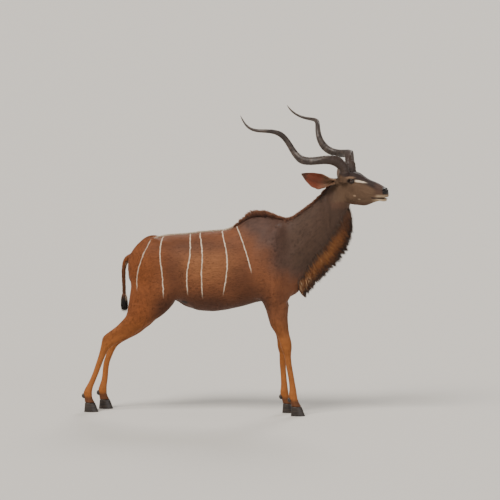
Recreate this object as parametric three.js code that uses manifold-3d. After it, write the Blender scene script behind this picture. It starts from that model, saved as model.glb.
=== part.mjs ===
// Greater kudu bull, life size, standing with its head raised and its horns laid back.
// Millimetres. The animal faces +X, its left side is +Y, up is +Z.
import * as THREE from 'three';
import { LoftGeometry } from 'three/addons/geometries/LoftGeometry.js';
import { mergeVertices } from 'three/addons/utils/BufferGeometryUtils.js';
import Module from 'manifold-3d';

const wasm = await Module();
wasm.setup();

// Driving sizes of the pose.
const JOINT_GAP = 0.3;
const FORE_CUT_Z = 770;
const HIND_CUT_Z = 760;
const KNEE_CUT_Z = 424;
const HOCK_CUT_Z = 452;
const CORONET_Z = 64;
const HEAD_YAW = THREE.MathUtils.degToRad(-26.6);
const HEAD_ROLL = THREE.MathUtils.degToRad(4.1);
const HEAD_ORIGIN = new THREE.Vector3(1080, -62, 1720);
const FRAME_X = 253;
const FRAME_Y = 157;
const FAR_HIND_STEP = 84;
const FAR_FORE_STEP = -70;

// Sizes of the horns: length along the axis, helix radius, turns and base thickness.
const HORN_AXIS_LENGTH = 873;
const HORN_HELIX_RADIUS = 42;
const HORN_TURNS = 2.02;
const HORN_PHASE = 4.166;
const HORN_SPREAD = 0.445;
const HORN_RISE = 0.592;
const HORN_BOW_UP = -149;
const HORN_BOW_OUT = 130;
const HORN_BASE_RADIUS = 37;
const HORN_TIP_RADIUS = 4;

// Eyes, ears and mouth.
const EYE_RADIUS = 21;
const EYE_CENTRE = { a: 4, b: 55, c: -58 };
const EAR_ROOT = { a: -116, b: 66, c: -66 };
const EAR_LENGTH = 262;
const EAR_SAG = 24;
const MOUTH_CORNER = { a: 158, c: -170 };

// Trunk stations: place along the body, top and belly lines, half width, widest height, sharpness above.
const TRUNK = [
  { x: -455, top: 1152, bottom: 880, half: 136, wide: 0.5, back: 2.0 },
  { x: -350, top: 1203, bottom: 838, half: 162, wide: 0.5, back: 1.95 },
  { x: -280, top: 1237, bottom: 808, half: 174, wide: 0.52, back: 1.95 },
  { x: -210, top: 1251, bottom: 794, half: 184, wide: 0.52, back: 2.1 },
  { x: -140, top: 1257, bottom: 780, half: 190, wide: 0.5, back: 2.1 },
  { x: -70, top: 1263, bottom: 747, half: 200, wide: 0.48, back: 2.1 },
  { x: 0, top: 1275, bottom: 718, half: 209, wide: 0.46, back: 2.1 },
  { x: 90, top: 1284, bottom: 714, half: 214, wide: 0.44, back: 2.1 },
  { x: 175, top: 1293, bottom: 724, half: 213, wide: 0.42, back: 2.0 },
  { x: 252, top: 1325, bottom: 741, half: 208, wide: 0.4, back: 1.8 },
  { x: 301, top: 1358, bottom: 753, half: 202, wide: 0.38, back: 1.65 },
  { x: 350, top: 1386, bottom: 768, half: 194, wide: 0.37, back: 1.55 },
  { x: 420, top: 1400, bottom: 788, half: 182, wide: 0.36, back: 1.5 },
  { x: 476, top: 1400, bottom: 794, half: 170, wide: 0.38, back: 1.5 },
  { x: 525, top: 1389, bottom: 798, half: 158, wide: 0.4, back: 1.55 },
  { x: 595, top: 1377, bottom: 806, half: 144, wide: 0.42, back: 1.7 },
  { x: 660, top: 1385, bottom: 826, half: 130, wide: 0.45, back: 1.8 },
  { x: 730, top: 1420, bottom: 880, half: 116, wide: 0.48, back: 1.9 },
];
const RUMP_START_X = -330;
const RUMP_DEPTH = 178;
const LIMB_TAPER = 0.45;

// Neck stations from the withers to the poll: top point, throat point, half width, sideways place.
const NECK = [
  { t: 0, topX: 600, topZ: 1377, lowX: 697, lowZ: 850, half: 122, side: 0 },
  { t: 0.16, topX: 652, topZ: 1390, lowX: 752, lowZ: 968, half: 116, side: -4 },
  { t: 0.32, topX: 712, topZ: 1431, lowX: 812, lowZ: 1062, half: 109, side: -10 },
  { t: 0.48, topX: 776, topZ: 1480, lowX: 872, lowZ: 1132, half: 101, side: -19 },
  { t: 0.64, topX: 832, topZ: 1530, lowX: 930, lowZ: 1208, half: 93, side: -30 },
  { t: 0.8, topX: 882, topZ: 1588, lowX: 982, lowZ: 1300, half: 85, side: -42 },
];

// Head stations in the head's own frame: a forward, b left, c up from between the horns.
const HEAD = [
  { topA: -158, topC: -66, lowA: -48, lowC: -226, crown: 74, jaw: 72, level: 0.5 },
  { topA: -128, topC: -40, lowA: -34, lowC: -229, crown: 68, jaw: 68, level: 0.52 },
  { topA: -98, topC: -22, lowA: -20, lowC: -231, crown: 66, jaw: 64, level: 0.56 },
  { topA: -70, topC: -12, lowA: -6, lowC: -233, crown: 66, jaw: 61, level: 0.6 },
  { topA: -44, topC: -5, lowA: 8, lowC: -234, crown: 69, jaw: 59, level: 0.64 },
  { topA: -20, topC: -1, lowA: 20, lowC: -234, crown: 73, jaw: 58, level: 0.66 },
  { topA: 0, topC: 0, lowA: 32, lowC: -235, crown: 74, jaw: 56, level: 0.66 },
  { topA: 20, topC: -4, lowA: 45, lowC: -236, crown: 70, jaw: 54, level: 0.66 },
  { topA: 40, topC: -12, lowA: 60, lowC: -236, crown: 61, jaw: 51, level: 0.64 },
  { topA: 62, topC: -24, lowA: 77, lowC: -235, crown: 52, jaw: 48, level: 0.6 },
  { topA: 86, topC: -37, lowA: 97, lowC: -230, crown: 46, jaw: 44, level: 0.56 },
  { topA: 112, topC: -49, lowA: 119, lowC: -221, crown: 42, jaw: 40, level: 0.54 },
  { topA: 140, topC: -58, lowA: 144, lowC: -211, crown: 39, jaw: 37, level: 0.52 },
  { topA: 166, topC: -66, lowA: 167, lowC: -203, crown: 38, jaw: 36, level: 0.5 },
  { topA: 190, topC: -76, lowA: 189, lowC: -197, crown: 38, jaw: 36, level: 0.5 },
  { topA: 212, topC: -87, lowA: 209, lowC: -193, crown: 38, jaw: 35, level: 0.5 },
  { topA: 232, topC: -99, lowA: 227, lowC: -191, crown: 36, jaw: 32, level: 0.52 },
  { topA: 247, topC: -111, lowA: 241, lowC: -188, crown: 31, jaw: 27, level: 0.52 },
  { topA: 256, topC: -124, lowA: 251, lowC: -182, crown: 21, jaw: 18, level: 0.5 },
];

// Near legs by height: front edge, back edge, half width, distance from the middle of the body.
const HIND = [
  { z: 1080, front: -230, back: -450, half: 60, mid: 96 },
  { z: 1000, front: -196, back: -462, half: 76, mid: 104 },
  { z: 900, front: -172, back: -474, half: 84, mid: 108 },
  { z: 820, front: -180, back: -484, half: 78, mid: 110 },
  { z: 760, front: -200, back: -493, half: 70, mid: 110 },
  { z: 690, front: -264, back: -507, half: 61, mid: 108 },
  { z: 640, front: -330, back: -545, half: 53, mid: 105 },
  { z: 600, front: -378, back: -586, half: 46, mid: 102 },
  { z: 573, front: -418, back: -622, half: 41, mid: 100 },
  { z: 550, front: -448, back: -652, half: 36, mid: 99 },
  { z: 527, front: -486, back: -672, half: 34, mid: 98 },
  { z: 500, front: -540, back: -679, half: 33, mid: 97 },
  { z: 472, front: -590, back: -684, half: 31, mid: 96 },
  { z: 440, front: -626, back: -691, half: 27, mid: 95 },
  { z: 400, front: -648, back: -701, half: 23, mid: 94 },
  { z: 336, front: -673, back: -721, half: 21, mid: 93 },
  { z: 273, front: -696, back: -742, half: 20, mid: 92 },
  { z: 209, front: -721, back: -769, half: 21, mid: 92 },
  { z: 165, front: -737, back: -793, half: 26, mid: 92 },
  { z: 138, front: -741, back: -804, half: 29, mid: 92 },
  { z: 112, front: -741, back: -806, half: 28, mid: 92 },
  { z: 88, front: -734, back: -798, half: 27, mid: 92 },
  { z: 64, front: -720, back: -795, half: 30, mid: 92 },
];
const FORE = [
  { z: 1080, front: 640, back: 420, half: 66, mid: 100 },
  { z: 1000, front: 656, back: 424, half: 74, mid: 104 },
  { z: 920, front: 658, back: 432, half: 76, mid: 104 },
  { z: 850, front: 646, back: 438, half: 72, mid: 101 },
  { z: 800, front: 636, back: 452, half: 66, mid: 96 },
  { z: 770, front: 632, back: 464, half: 62, mid: 93 },
  { z: 700, front: 629, back: 484, half: 55, mid: 89 },
  { z: 632, front: 633, back: 506, half: 48, mid: 86 },
  { z: 580, front: 640, back: 540, half: 41, mid: 84 },
  { z: 545, front: 649, back: 560, half: 38, mid: 82 },
  { z: 510, front: 657, back: 572, half: 39, mid: 81 },
  { z: 480, front: 659, back: 579, half: 39, mid: 80 },
  { z: 450, front: 656, back: 589, half: 35, mid: 80 },
  { z: 420, front: 655, back: 602, half: 28, mid: 79 },
  { z: 360, front: 661, back: 613, half: 23, mid: 78 },
  { z: 300, front: 672, back: 626, half: 21, mid: 78 },
  { z: 230, front: 685, back: 638, half: 21, mid: 78 },
  { z: 183, front: 694, back: 641, half: 25, mid: 78 },
  { z: 150, front: 699, back: 638, half: 29, mid: 78 },
  { z: 122, front: 704, back: 640, half: 28, mid: 78 },
  { z: 96, front: 714, back: 650, half: 27, mid: 78 },
  { z: 64, front: 733, back: 658, half: 30, mid: 78 },
];
const HOOF_TOE_REACH = 22;
const HOOF_HEEL_REACH = 5;
const CLAW_SPACE = 3;

// Colours and finishes seen in the photo.
const COAT_BROWN = { color: 0x7a4a2c, roughness: 0.9 };
const COAT_GREY = { color: 0x6b5a50, roughness: 0.9 };
const COAT_LEG = { color: 0xa06a3a, roughness: 0.9 };
const HORN_DARK = { color: 0x3a3431, roughness: 0.45 };
const HOOF_BLACK = { color: 0x17130f, roughness: 0.5 };
const EYE_DARK = { color: 0x0d0907, roughness: 0.08 };

const clamp01 = (v) => Math.min(1, Math.max(0, v));
const mix = (a, b, t) => a + (b - a) * t;
const smooth = (t) => t * t * (3 - 2 * t);

// Smooth curve through a column of measured stations, without overshoot.
function along(rows, key, column, at) {
  const rising = rows[1][key] > rows[0][key];
  const list = rising ? rows : [...rows].reverse();
  let i = 0;
  while (i < list.length - 2 && at > list[i + 1][key]) i += 1;
  const slope = (j) => (list[j + 1][column] - list[j][column]) / (list[j + 1][key] - list[j][key]);
  const tangent = (j) => {
    if (j === 0) return slope(0);
    if (j === list.length - 1) return slope(j - 1);
    const before = slope(j - 1);
    const after = slope(j);
    if (before * after <= 0) return 0;
    return 2 * before * after / (before + after);
  };
  const span = list[i + 1][key] - list[i][key];
  const t = clamp01((at - list[i][key]) / span);
  const h00 = 2 * t ** 3 - 3 * t ** 2 + 1;
  const h10 = t ** 3 - 2 * t ** 2 + t;
  const h01 = 3 * t ** 2 - 2 * t ** 3;
  const h11 = t ** 3 - t ** 2;
  const start = h00 * list[i][column] + h10 * span * tangent(i);
  return start + h01 * list[i + 1][column] + h11 * span * tangent(i + 1);
}

// Smallest of two distances, rounded where they meet.
function blend(a, b, reach) {
  const h = Math.max(reach - Math.abs(a - b), 0) / reach;
  return Math.min(a, b) - h * h * reach * 0.25;
}

function trunkField(p) {
  const x = Math.max(TRUNK[0].x, Math.min(730, p.x));
  const top = along(TRUNK, 'x', 'top', x);
  const bottom = along(TRUNK, 'x', 'bottom', x);
  const level = mix(bottom, top, along(TRUNK, 'x', 'wide', x));
  const inset = clamp01((RUMP_START_X - p.x) / RUMP_DEPTH);
  if (p.x < RUMP_START_X - RUMP_DEPTH) return 60 + RUMP_START_X - RUMP_DEPTH - p.x;
  const close = Math.max(0.02, (1 - inset ** 2) ** (1 / 2));
  const half = along(TRUNK, 'x', 'half', x) * close;
  const up = p.z > level;
  const tall = (up ? top - level : level - bottom) * Math.max(0.02, (1 - inset ** 4) ** (1 / 4));
  const power = up ? along(TRUNK, 'x', 'back', x) : 2.1;
  const q = ((Math.abs(p.y) / half) ** power + (Math.abs(p.z - level) / tall) ** power) ** (1 / power);
  return (q - 1) * Math.min(half, tall);
}

// Egg-shaped muscle: centre, three radii, lean in the side plane.
function muscle(p, centre, radii, lean) {
  const dx = p.x - centre[0];
  const dy = p.y - centre[1];
  const dz = p.z - centre[2];
  const c = Math.cos(lean);
  const s = Math.sin(lean);
  const u = (dx * c + dz * s) / radii[0];
  const v = dy / radii[1];
  const w = (-dx * s + dz * c) / radii[2];
  return (Math.sqrt(u * u + v * v + w * w) - 1) * Math.min(...radii);
}

// How far the far leg of a pair is carried from the near one at a height.
function stepAt(fore, z) {
  if (fore) return FAR_FORE_STEP * mix(1, 0.1, smooth(clamp01((z - 140) / 640)));
  const low = smooth(clamp01((z - 130) / 220));
  return FAR_HIND_STEP * mix(mix(1, 0.44, low), 0, smooth(clamp01((z - 480) / 300)));
}

function legRow(fore, far, z) {
  const rows = fore ? FORE : HIND;
  const at = Math.max(CORONET_Z, Math.min(1080, z));
  const shift = far ? stepAt(fore, z) : 0;
  return {
    front: along(rows, 'z', 'front', at) + shift,
    back: along(rows, 'z', 'back', at) + shift,
    half: along(rows, 'z', 'half', at),
    mid: along(rows, 'z', 'mid', at) * (far ? 1 : -1),
  };
}

function legField(p, fore, far) {
  if (p.z > 1240) return 100;
  const row = legRow(fore, far, p.z);
  const close = Math.sqrt(Math.max(0.001, 1 - clamp01((p.z - 1080) / 160) ** 2));
  const deep = (row.front - row.back) / 2 * close;
  const ahead = (p.x - (row.front + row.back) / 2) / deep;
  const ending = fore ? clamp01(ahead) : clamp01(-ahead);
  const taper = LIMB_TAPER * clamp01((p.z - 720) / 180) * Math.min(1, ending);
  const half = row.half * close * (1 - taper);
  const u = Math.abs(ahead);
  const v = Math.abs(p.y - row.mid) / half;
  return ((u ** 2.3 + v ** 2.3) ** (1 / 2.3) - 1) * half;
}

// Whole flesh of trunk, shoulders, haunches and legs: negative inside.
function flesh(p) {
  let body = trunkField(p);
  for (const far of [false, true]) {
    const side = far ? 1 : -1;
    let leg = legField(p, false, far);
    leg = blend(leg, muscle(p, [-330, side * 92, 1060], [150, 92, 125], 0.45), 60);
    leg = blend(leg, muscle(p, [-250, side * 116, 870], [84, 74, 150], -0.35), 50);
    let arm = legField(p, true, far);
    arm = blend(arm, muscle(p, [505, side * 92, 1150], [92, 72, 210], -0.42), 60);
    arm = blend(arm, muscle(p, [500, side * 116, 940], [92, 66, 135], 0.3), 50);
    arm = blend(arm, muscle(p, [582, side * 90, 985], [80, 62, 100], 0.2), 60);
    if (p.x < 100) body = blend(body, leg, p.z < 800 ? 22 : 46);
    else body = blend(body, arm, p.z < 820 ? 22 : 40);
  }
  return blend(body, muscle(p, [-85, 0, 768], [48, 26, 23], -0.3), 30);
}

// Distance from a centre to the surface along a direction.
function reach(field, centre, direction, limit) {
  const p = new THREE.Vector3();
  let near = 0;
  let far = limit;
  for (let r = 8; r <= limit; r += 8) {
    p.copy(direction).multiplyScalar(r).add(centre);
    if (field(p) > 0) {
      far = r;
      break;
    }
    near = r;
  }
  for (let i = 0; i < 12; i += 1) {
    const r = (near + far) / 2;
    p.copy(direction).multiplyScalar(r).add(centre);
    if (field(p) > 0) far = r;
    else near = r;
  }
  return (near + far) / 2;
}

function plain(geometry) {
  geometry.deleteAttribute('normal');
  geometry.deleteAttribute('uv');
  return mergeVertices(geometry, 1e-3);
}

// Skin over a row of rings, closed at both ends; rings wound the wrong way round are turned.
function loft(sections) {
  const ring = sections[0];
  const next = sections[1];
  const middle = new THREE.Vector3();
  const ahead = new THREE.Vector3();
  ring.forEach((p) => middle.addScaledVector(p, 1 / ring.length));
  next.forEach((p) => ahead.addScaledVector(p, 1 / ring.length));
  ahead.sub(middle);
  const normal = new THREE.Vector3();
  ring.forEach((p, i) => {
    const a = p.clone().sub(middle);
    const b = ring[(i + 1) % ring.length].clone().sub(middle);
    normal.add(a.cross(b));
  });
  const rings = normal.dot(ahead) < 0 ? sections.map((points) => [...points].reverse()) : sections;
  return plain(new LoftGeometry(rings, { capStart: true, capEnd: true }));
}

function solid(geometry) {
  const merged = plain(geometry);
  const vertProperties = new Float32Array(merged.attributes.position.array);
  const triVerts = new Uint32Array(merged.index.array);
  return new wasm.Manifold(new wasm.Mesh({ numProp: 3, vertProperties, triVerts }));
}

// Only the largest closed body of a solid is kept.
function largest(body) {
  const parts = body.decompose();
  return parts.reduce((best, part) => (part.volume() > best.volume() ? part : best));
}

function toGeometry(body) {
  const mesh = body.getMesh();
  const geometry = new THREE.BufferGeometry();
  geometry.setAttribute('position', new THREE.BufferAttribute(new Float32Array(mesh.vertProperties), 3));
  geometry.setIndex(new THREE.BufferAttribute(new Uint32Array(mesh.triVerts), 1));
  return geometry;
}

function block(x0, x1, y0, y1, z0, z1) {
  const box = new THREE.BoxGeometry(x1 - x0, y1 - y0, z1 - z0);
  box.translate((x0 + x1) / 2, (y0 + y1) / 2, (z0 + z1) / 2);
  return solid(box);
}

// Half of space beyond a point along a direction, as a large block.
function beyond(point, direction, size = 1600) {
  const box = new THREE.BoxGeometry(size, size, size);
  box.translate(0, 0, size / 2);
  const upright = new THREE.Vector3(0, 0, 1);
  const turn = new THREE.Quaternion().setFromUnitVectors(upright, direction.clone().normalize());
  box.applyQuaternion(turn);
  box.translate(point.x, point.y, point.z);
  return solid(box);
}

const group = new THREE.Group();
function place(name, geometry, finish) {
  geometry.deleteAttribute('normal');
  const faceted = geometry.index ? geometry.toNonIndexed() : geometry;
  faceted.computeVertexNormals();
  const material = new THREE.MeshStandardMaterial({ ...finish, metalness: 0 });
  const mesh = new THREE.Mesh(faceted, material);
  mesh.name = name;
  group.add(mesh);
}

// Torso: rounded rump, upright sections along the trunk, then a fan that leans into the neck.
const TORSO_ANGLES = [];
for (let deg = -30; deg < 212; deg += 14) TORSO_ANGLES.push(THREE.MathUtils.degToRad(deg));
for (let deg = 217; deg < 328; deg += 7.5) TORSO_ANGLES.push(THREE.MathUtils.degToRad(deg));

function torsoField(p) {
  const cut = p.x > 100 ? FORE_CUT_Z : HIND_CUT_Z;
  const floorZ = p.x > 395 || p.x < -125 ? cut - 30 : 600;
  return Math.max(flesh(p), floorZ - p.z);
}

function neckFrame(t) {
  const end = smooth(t);
  const yaw = HEAD_YAW * end;
  const roll = HEAD_ROLL * end;
  const level = Math.cos(roll);
  return new THREE.Vector3(-Math.sin(yaw) * level, Math.cos(yaw) * level, Math.sin(roll));
}

const HEAD_FORWARD = new THREE.Vector3(Math.cos(HEAD_YAW), Math.sin(HEAD_YAW), 0);
const HEAD_LEFT = neckFrame(1);
const HEAD_UP = new THREE.Vector3().crossVectors(HEAD_FORWARD, HEAD_LEFT);

function headPoint(a, b, c) {
  const p = HEAD_ORIGIN.clone().addScaledVector(HEAD_FORWARD, a);
  return p.addScaledVector(HEAD_LEFT, b).addScaledVector(HEAD_UP, c);
}

const POLL_TOP = headPoint(HEAD[0].topA, 0, HEAD[0].topC);
const POLL_LOW = headPoint(HEAD[0].lowA, 0, HEAD[0].lowC);
NECK.push({
  t: 1,
  topX: POLL_TOP.x,
  topZ: POLL_TOP.z,
  lowX: POLL_LOW.x,
  lowZ: POLL_LOW.z,
  half: 74,
  side: (POLL_TOP.y + POLL_LOW.y) / 2,
});

function neckSpine(t) {
  const lift = smooth(clamp01((t - 0.8) / 0.2));
  const side = along(NECK, 't', 'side', t);
  const topY = mix(side, POLL_TOP.y, lift);
  const lowY = mix(side, POLL_LOW.y, lift);
  const top = new THREE.Vector3(along(NECK, 't', 'topX', t), topY, along(NECK, 't', 'topZ', t));
  const low = new THREE.Vector3(along(NECK, 't', 'lowX', t), lowY, along(NECK, 't', 'lowZ', t));
  return { top, low };
}

function neckSection(t, angles, back = 0) {
  const { top, low } = neckSpine(t);
  const centre = top.clone().add(low).multiplyScalar(0.5);
  const up = top.clone().sub(low);
  const tall = up.length() / 2;
  up.normalize();
  const left = neckFrame(t);
  const ahead = new THREE.Vector3().crossVectors(left, up).normalize();
  left.crossVectors(up, ahead);
  const half = along(NECK, 't', 'half', t);
  const power = mix(2.0, 2.2, t);
  return angles.map((angle) => {
    const c = Math.cos(angle);
    const s = Math.sin(angle);
    const r = (Math.abs(c / half) ** power + Math.abs(s / tall) ** power) ** (-1 / power);
    const pinch = 1 - 0.2 * (1 - t) * Math.max(0, s) * Math.abs(c);
    const p = centre.clone().addScaledVector(left, r * c * pinch).addScaledVector(up, r * s);
    return p.addScaledVector(ahead, -back);
  });
}

const torsoSections = [];
const RUMP_CENTRE = new THREE.Vector3(-350, 0, 1012);
for (const deg of [10, 27, 45, 62, 79]) {
  const tilt = THREE.MathUtils.degToRad(deg);
  torsoSections.push(TORSO_ANGLES.map((angle) => {
    const spread = Math.sin(tilt);
    const d = new THREE.Vector3(-Math.cos(tilt), spread * Math.cos(angle), spread * Math.sin(angle));
    const r = reach(torsoField, RUMP_CENTRE, d, 520);
    return RUMP_CENTRE.clone().addScaledVector(d, r);
  }));
}
const TRUNK_CUTS = [-345, -300, -255, -210, -160, -105, -45, 30, 110, 185, 250, 305, 355, 405, 460, 510];
for (const x of TRUNK_CUTS) {
  const centre = new THREE.Vector3(x, 0, 1012);
  torsoSections.push(TORSO_ANGLES.map((angle) => {
    const d = new THREE.Vector3(0, Math.cos(angle), Math.sin(angle));
    return centre.clone().addScaledVector(d, reach(torsoField, centre, d, 520));
  }));
}
const FAN_LOW = [552, 584, 606, 624, 645, 670];
FAN_LOW.forEach((lowX, i) => {
  const share = (i + 1) / (FAN_LOW.length + 1);
  const top = new THREE.Vector3(mix(535, 600, share), 0, 1380);
  const low = new THREE.Vector3(lowX, 0, mix(800, 850, share));
  const centre = top.clone().add(low).multiplyScalar(0.5);
  const up = top.clone().sub(low).normalize();
  const neck = neckSection(0, TORSO_ANGLES);
  const neckCentre = new THREE.Vector3((600 + 697) / 2, 0, (1377 + 850) / 2);
  torsoSections.push(TORSO_ANGLES.map((angle, j) => {
    const d = new THREE.Vector3(0, Math.cos(angle), 0).addScaledVector(up, Math.sin(angle));
    const r = reach(torsoField, centre, d, 520);
    const target = neck[j].distanceTo(neckCentre);
    return centre.clone().addScaledVector(d, mix(r, target, smooth(share) * share));
  }));
});
torsoSections.push(neckSection(0, TORSO_ANGLES, JOINT_GAP));
let torso = solid(loft(torsoSections));
torso = torso.subtract(block(395, 800, -400, 400, 300, FORE_CUT_Z));
torso = torso.subtract(block(-620, -125, -400, 400, 300, HIND_CUT_Z));

// Neck between the withers and the poll.
const neckSections = [];
const NECK_CUTS = 8;
for (let i = 0; i <= NECK_CUTS; i += 1) {
  neckSections.push(neckSection(i / NECK_CUTS, TORSO_ANGLES, i === NECK_CUTS ? JOINT_GAP : 0));
}
let neck = solid(loft(neckSections));

// Legs below the trunk: thigh or forearm, cannon, two claws and two dewclaws each.
function legSections(fore, far, heights, count, grow = 0) {
  return heights.map((z) => {
    const row = legRow(fore, far, z);
    const centre = new THREE.Vector3((row.front + row.back) / 2, row.mid, z);
    const points = [];
    for (let i = 0; i < count; i += 1) {
      const angle = 2 * Math.PI * i / count;
      const d = new THREE.Vector3(Math.sin(angle), Math.cos(angle), 0);
      let r;
      if (z > 640) {
        r = reach(flesh, centre, d, 260);
      } else {
        const deep = (row.front - row.back) / 2;
        r = (Math.abs(d.x / deep) ** 2.3 + Math.abs(d.y / row.half) ** 2.3) ** (-1 / 2.3);
      }
      points.push(centre.clone().addScaledVector(d, r + grow));
    }
    return points;
  });
}

const LEGS = [
  { name: 'fore_right', fore: true, far: false },
  { name: 'fore_left', fore: true, far: true },
  { name: 'hind_right', fore: false, far: false },
  { name: 'hind_left', fore: false, far: true },
];
for (const leg of LEGS) {
  const upper = leg.fore
    ? [FORE_CUT_Z - JOINT_GAP, 735, 690, 640, 590, 555, 525, 500, 475, 450, KNEE_CUT_Z + JOINT_GAP]
    : [HIND_CUT_Z - JOINT_GAP, 725, 690, 655, 620, 590, 565, 545, 525, 505, 485, HOCK_CUT_Z + JOINT_GAP];
  const thigh = leg.fore ? 'forearm' : 'gaskin';
  place(`${leg.name}_${thigh}`, loft(legSections(leg.fore, leg.far, upper, 16)), COAT_LEG);
  const start = leg.fore ? KNEE_CUT_Z : HOCK_CUT_Z;
  const lower = [start, 395, 340, 270, 210, 185, 162, 140, 116, 92, 74, CORONET_Z];
  place(`${leg.name}_cannon`, loft(legSections(leg.fore, leg.far, lower, 14)), COAT_LEG);
  const flank = solid(loft(legSections(leg.fore, leg.far, [162, 140, 116, 92, 74], 14, JOINT_GAP)));
  const row = legRow(leg.fore, leg.far, CORONET_Z);
  for (const claw of [-1, 1]) {
    const claws = [];
    for (const k of [0, 0.5, 1]) {
      const z = (CORONET_Z - JOINT_GAP) * (1 - k);
      const front = row.front - 3 + (HOOF_TOE_REACH + 3) * k;
      const back = row.back + 4 - HOOF_HEEL_REACH * k;
      const outer = row.half - 1 + 4 * k;
      const points = [];
      for (let i = 0; i < 12; i += 1) {
        const angle = 2 * Math.PI * i / 12;
        const along01 = (Math.sin(angle) + 1) / 2;
        const across = (Math.cos(angle) + 1) / 2;
        const taper = 1 - 0.42 * Math.max(0, Math.sin(angle)) ** 2;
        const width = CLAW_SPACE / 2 + (outer - CLAW_SPACE / 2) * across * taper;
        points.push(new THREE.Vector3(mix(back, front, along01), row.mid + claw * width, z));
      }
      if (claw < 0) points.reverse();
      claws.push(points);
    }
    const side = claw * (leg.far ? 1 : -1) > 0 ? 'outer' : 'inner';
    place(`${leg.name}_hoof_${side}`, loft(claws), HOOF_BLACK);
    const dew = new THREE.SphereGeometry(1, 7, 5);
    dew.scale(13, 10, 17);
    dew.rotateY(-0.3);
    const high = legRow(leg.fore, leg.far, 118);
    dew.translate(high.back + 5, row.mid + claw * 15, 112);
    place(`${leg.name}_dewclaw_${side}`, toGeometry(largest(solid(dew).subtract(flank))), HOOF_BLACK);
  }
}

// Head as one loft in its own frame.
const HEAD_POINTS = 22;
function headSection(t) {
  const rows = HEAD.map((row, i) => ({ ...row, t: i }));
  const get = (column) => along(rows, 't', column, t);
  const topA = get('topA');
  const topC = get('topC');
  const lowA = get('lowA');
  const lowC = get('lowC');
  const level = get('level');
  const crown = get('crown');
  const jaw = get('jaw');
  const upA = topA - lowA;
  const upC = topC - lowC;
  const points = [];
  for (let i = 0; i < HEAD_POINTS; i += 1) {
    const angle = 2 * Math.PI * i / HEAD_POINTS;
    const c = Math.cos(angle);
    const s = Math.sin(angle);
    const power = 2.3;
    const scale = (Math.abs(c) ** power + Math.abs(s) ** power) ** (-1 / power);
    const height = s > 0 ? level + (1 - level) * s * scale : level + level * s * scale;
    const width = mix(jaw, crown, smooth(clamp01(height / level)));
    const b = c * scale * width;
    points.push(headPoint(lowA + upA * height, b, lowC + upC * height));
  }
  return points;
}
const headSections = [];
for (let i = 0; i < HEAD.length; i += 1) {
  headSections.push(headSection(i));
  if (i > 12 && i < HEAD.length - 2) headSections.push(headSection(i + 0.5));
}
let head = solid(loft(headSections));

function egg(a, b, c, ra, rb, rc, yaw = 0, pitch = 0, across = 9, down = 6) {
  const ball = new THREE.SphereGeometry(1, across, down);
  ball.scale(ra, rb, rc);
  ball.rotateY(pitch);
  ball.rotateZ(yaw);
  ball.translate(a, b, c);
  ball.applyMatrix4(HEAD_BASIS);
  return ball;
}

// Horns: a helix round a leaning axis, with a keel along its outside.
function hornPath(side) {
  const axis = new THREE.Vector3(-1, HORN_SPREAD * side, HORN_RISE).normalize();
  const up = new THREE.Vector3(0, 0, 1).addScaledVector(axis, -axis.z).normalize();
  const out = new THREE.Vector3().crossVectors(axis, up).multiplyScalar(side);
  const points = [];
  const radials = [];
  for (let i = 0; i <= 40; i += 1) {
    const s = mix(0.085, 1, i / 40);
    const radius = HORN_HELIX_RADIUS * (1 - Math.exp(-s / 0.07)) * (1 - 0.036 * s);
    const phase = HORN_PHASE + 2 * Math.PI * HORN_TURNS * s;
    const radial = up.clone().multiplyScalar(Math.cos(phase)).addScaledVector(out, Math.sin(phase));
    const p = axis.clone().multiplyScalar(s * HORN_AXIS_LENGTH).addScaledVector(radial, radius);
    p.addScaledVector(up, s * (1 - s) * HORN_BOW_UP).addScaledVector(out, s * (1 - s) * HORN_BOW_OUT);
    p.y += 42 * side;
    points.push(p);
    radials.push(radial);
  }
  points.unshift(new THREE.Vector3(-58, 47 * side, 8));
  radials.unshift(radials[0]);
  points.unshift(new THREE.Vector3(-57, 45 * side, -32));
  radials.unshift(radials[0]);
  return { points, radials };
}

function hornGeometry(side, grow = 0) {
  const { points, radials } = hornPath(side);
  const curve = new THREE.CatmullRomCurve3(points, false, 'centripetal');
  const count = 35;
  const sections = [];
  for (let i = 0; i <= count; i += 1) {
    const share = i / count;
    const p = curve.getPointAt(share);
    const tangent = curve.getTangentAt(share);
    const place01 = curve.getUtoTmapping(share) * (points.length - 1);
    const index = Math.min(points.length - 2, Math.floor(place01));
    const radial = radials[index].clone().lerp(radials[index + 1], place01 - index);
    radial.addScaledVector(tangent, -radial.dot(tangent)).normalize();
    const other = new THREE.Vector3().crossVectors(tangent, radial);
    const tip = share > 0.97 ? mix(1, 0.45, (share - 0.97) / 0.03) : 1;
    const thick = mix(HORN_BASE_RADIUS, HORN_TIP_RADIUS, share ** 1.25) * tip + grow;
    const ring = [];
    for (let k = 0; k < 10; k += 1) {
      const angle = 2 * Math.PI * k / 10;
      const turned = angle > Math.PI ? angle - 2 * Math.PI : angle;
      const keel = 1 + 0.2 * Math.exp(-((turned / 0.45) ** 2)) * (1 - share);
      const q = p.clone().addScaledVector(radial, Math.cos(angle) * thick * keel);
      ring.push(q.addScaledVector(other, Math.sin(angle) * thick * 0.92));
    }
    sections.push(ring.map((q) => headPoint(q.x, q.y, q.z)));
  }
  return loft(sections);
}

// Frame of the head as a matrix, for shapes made about the axes a, b, c.
const HEAD_BASIS = new THREE.Matrix4().makeBasis(HEAD_FORWARD, HEAD_LEFT, HEAD_UP);
HEAD_BASIS.setPosition(HEAD_ORIGIN);

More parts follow.
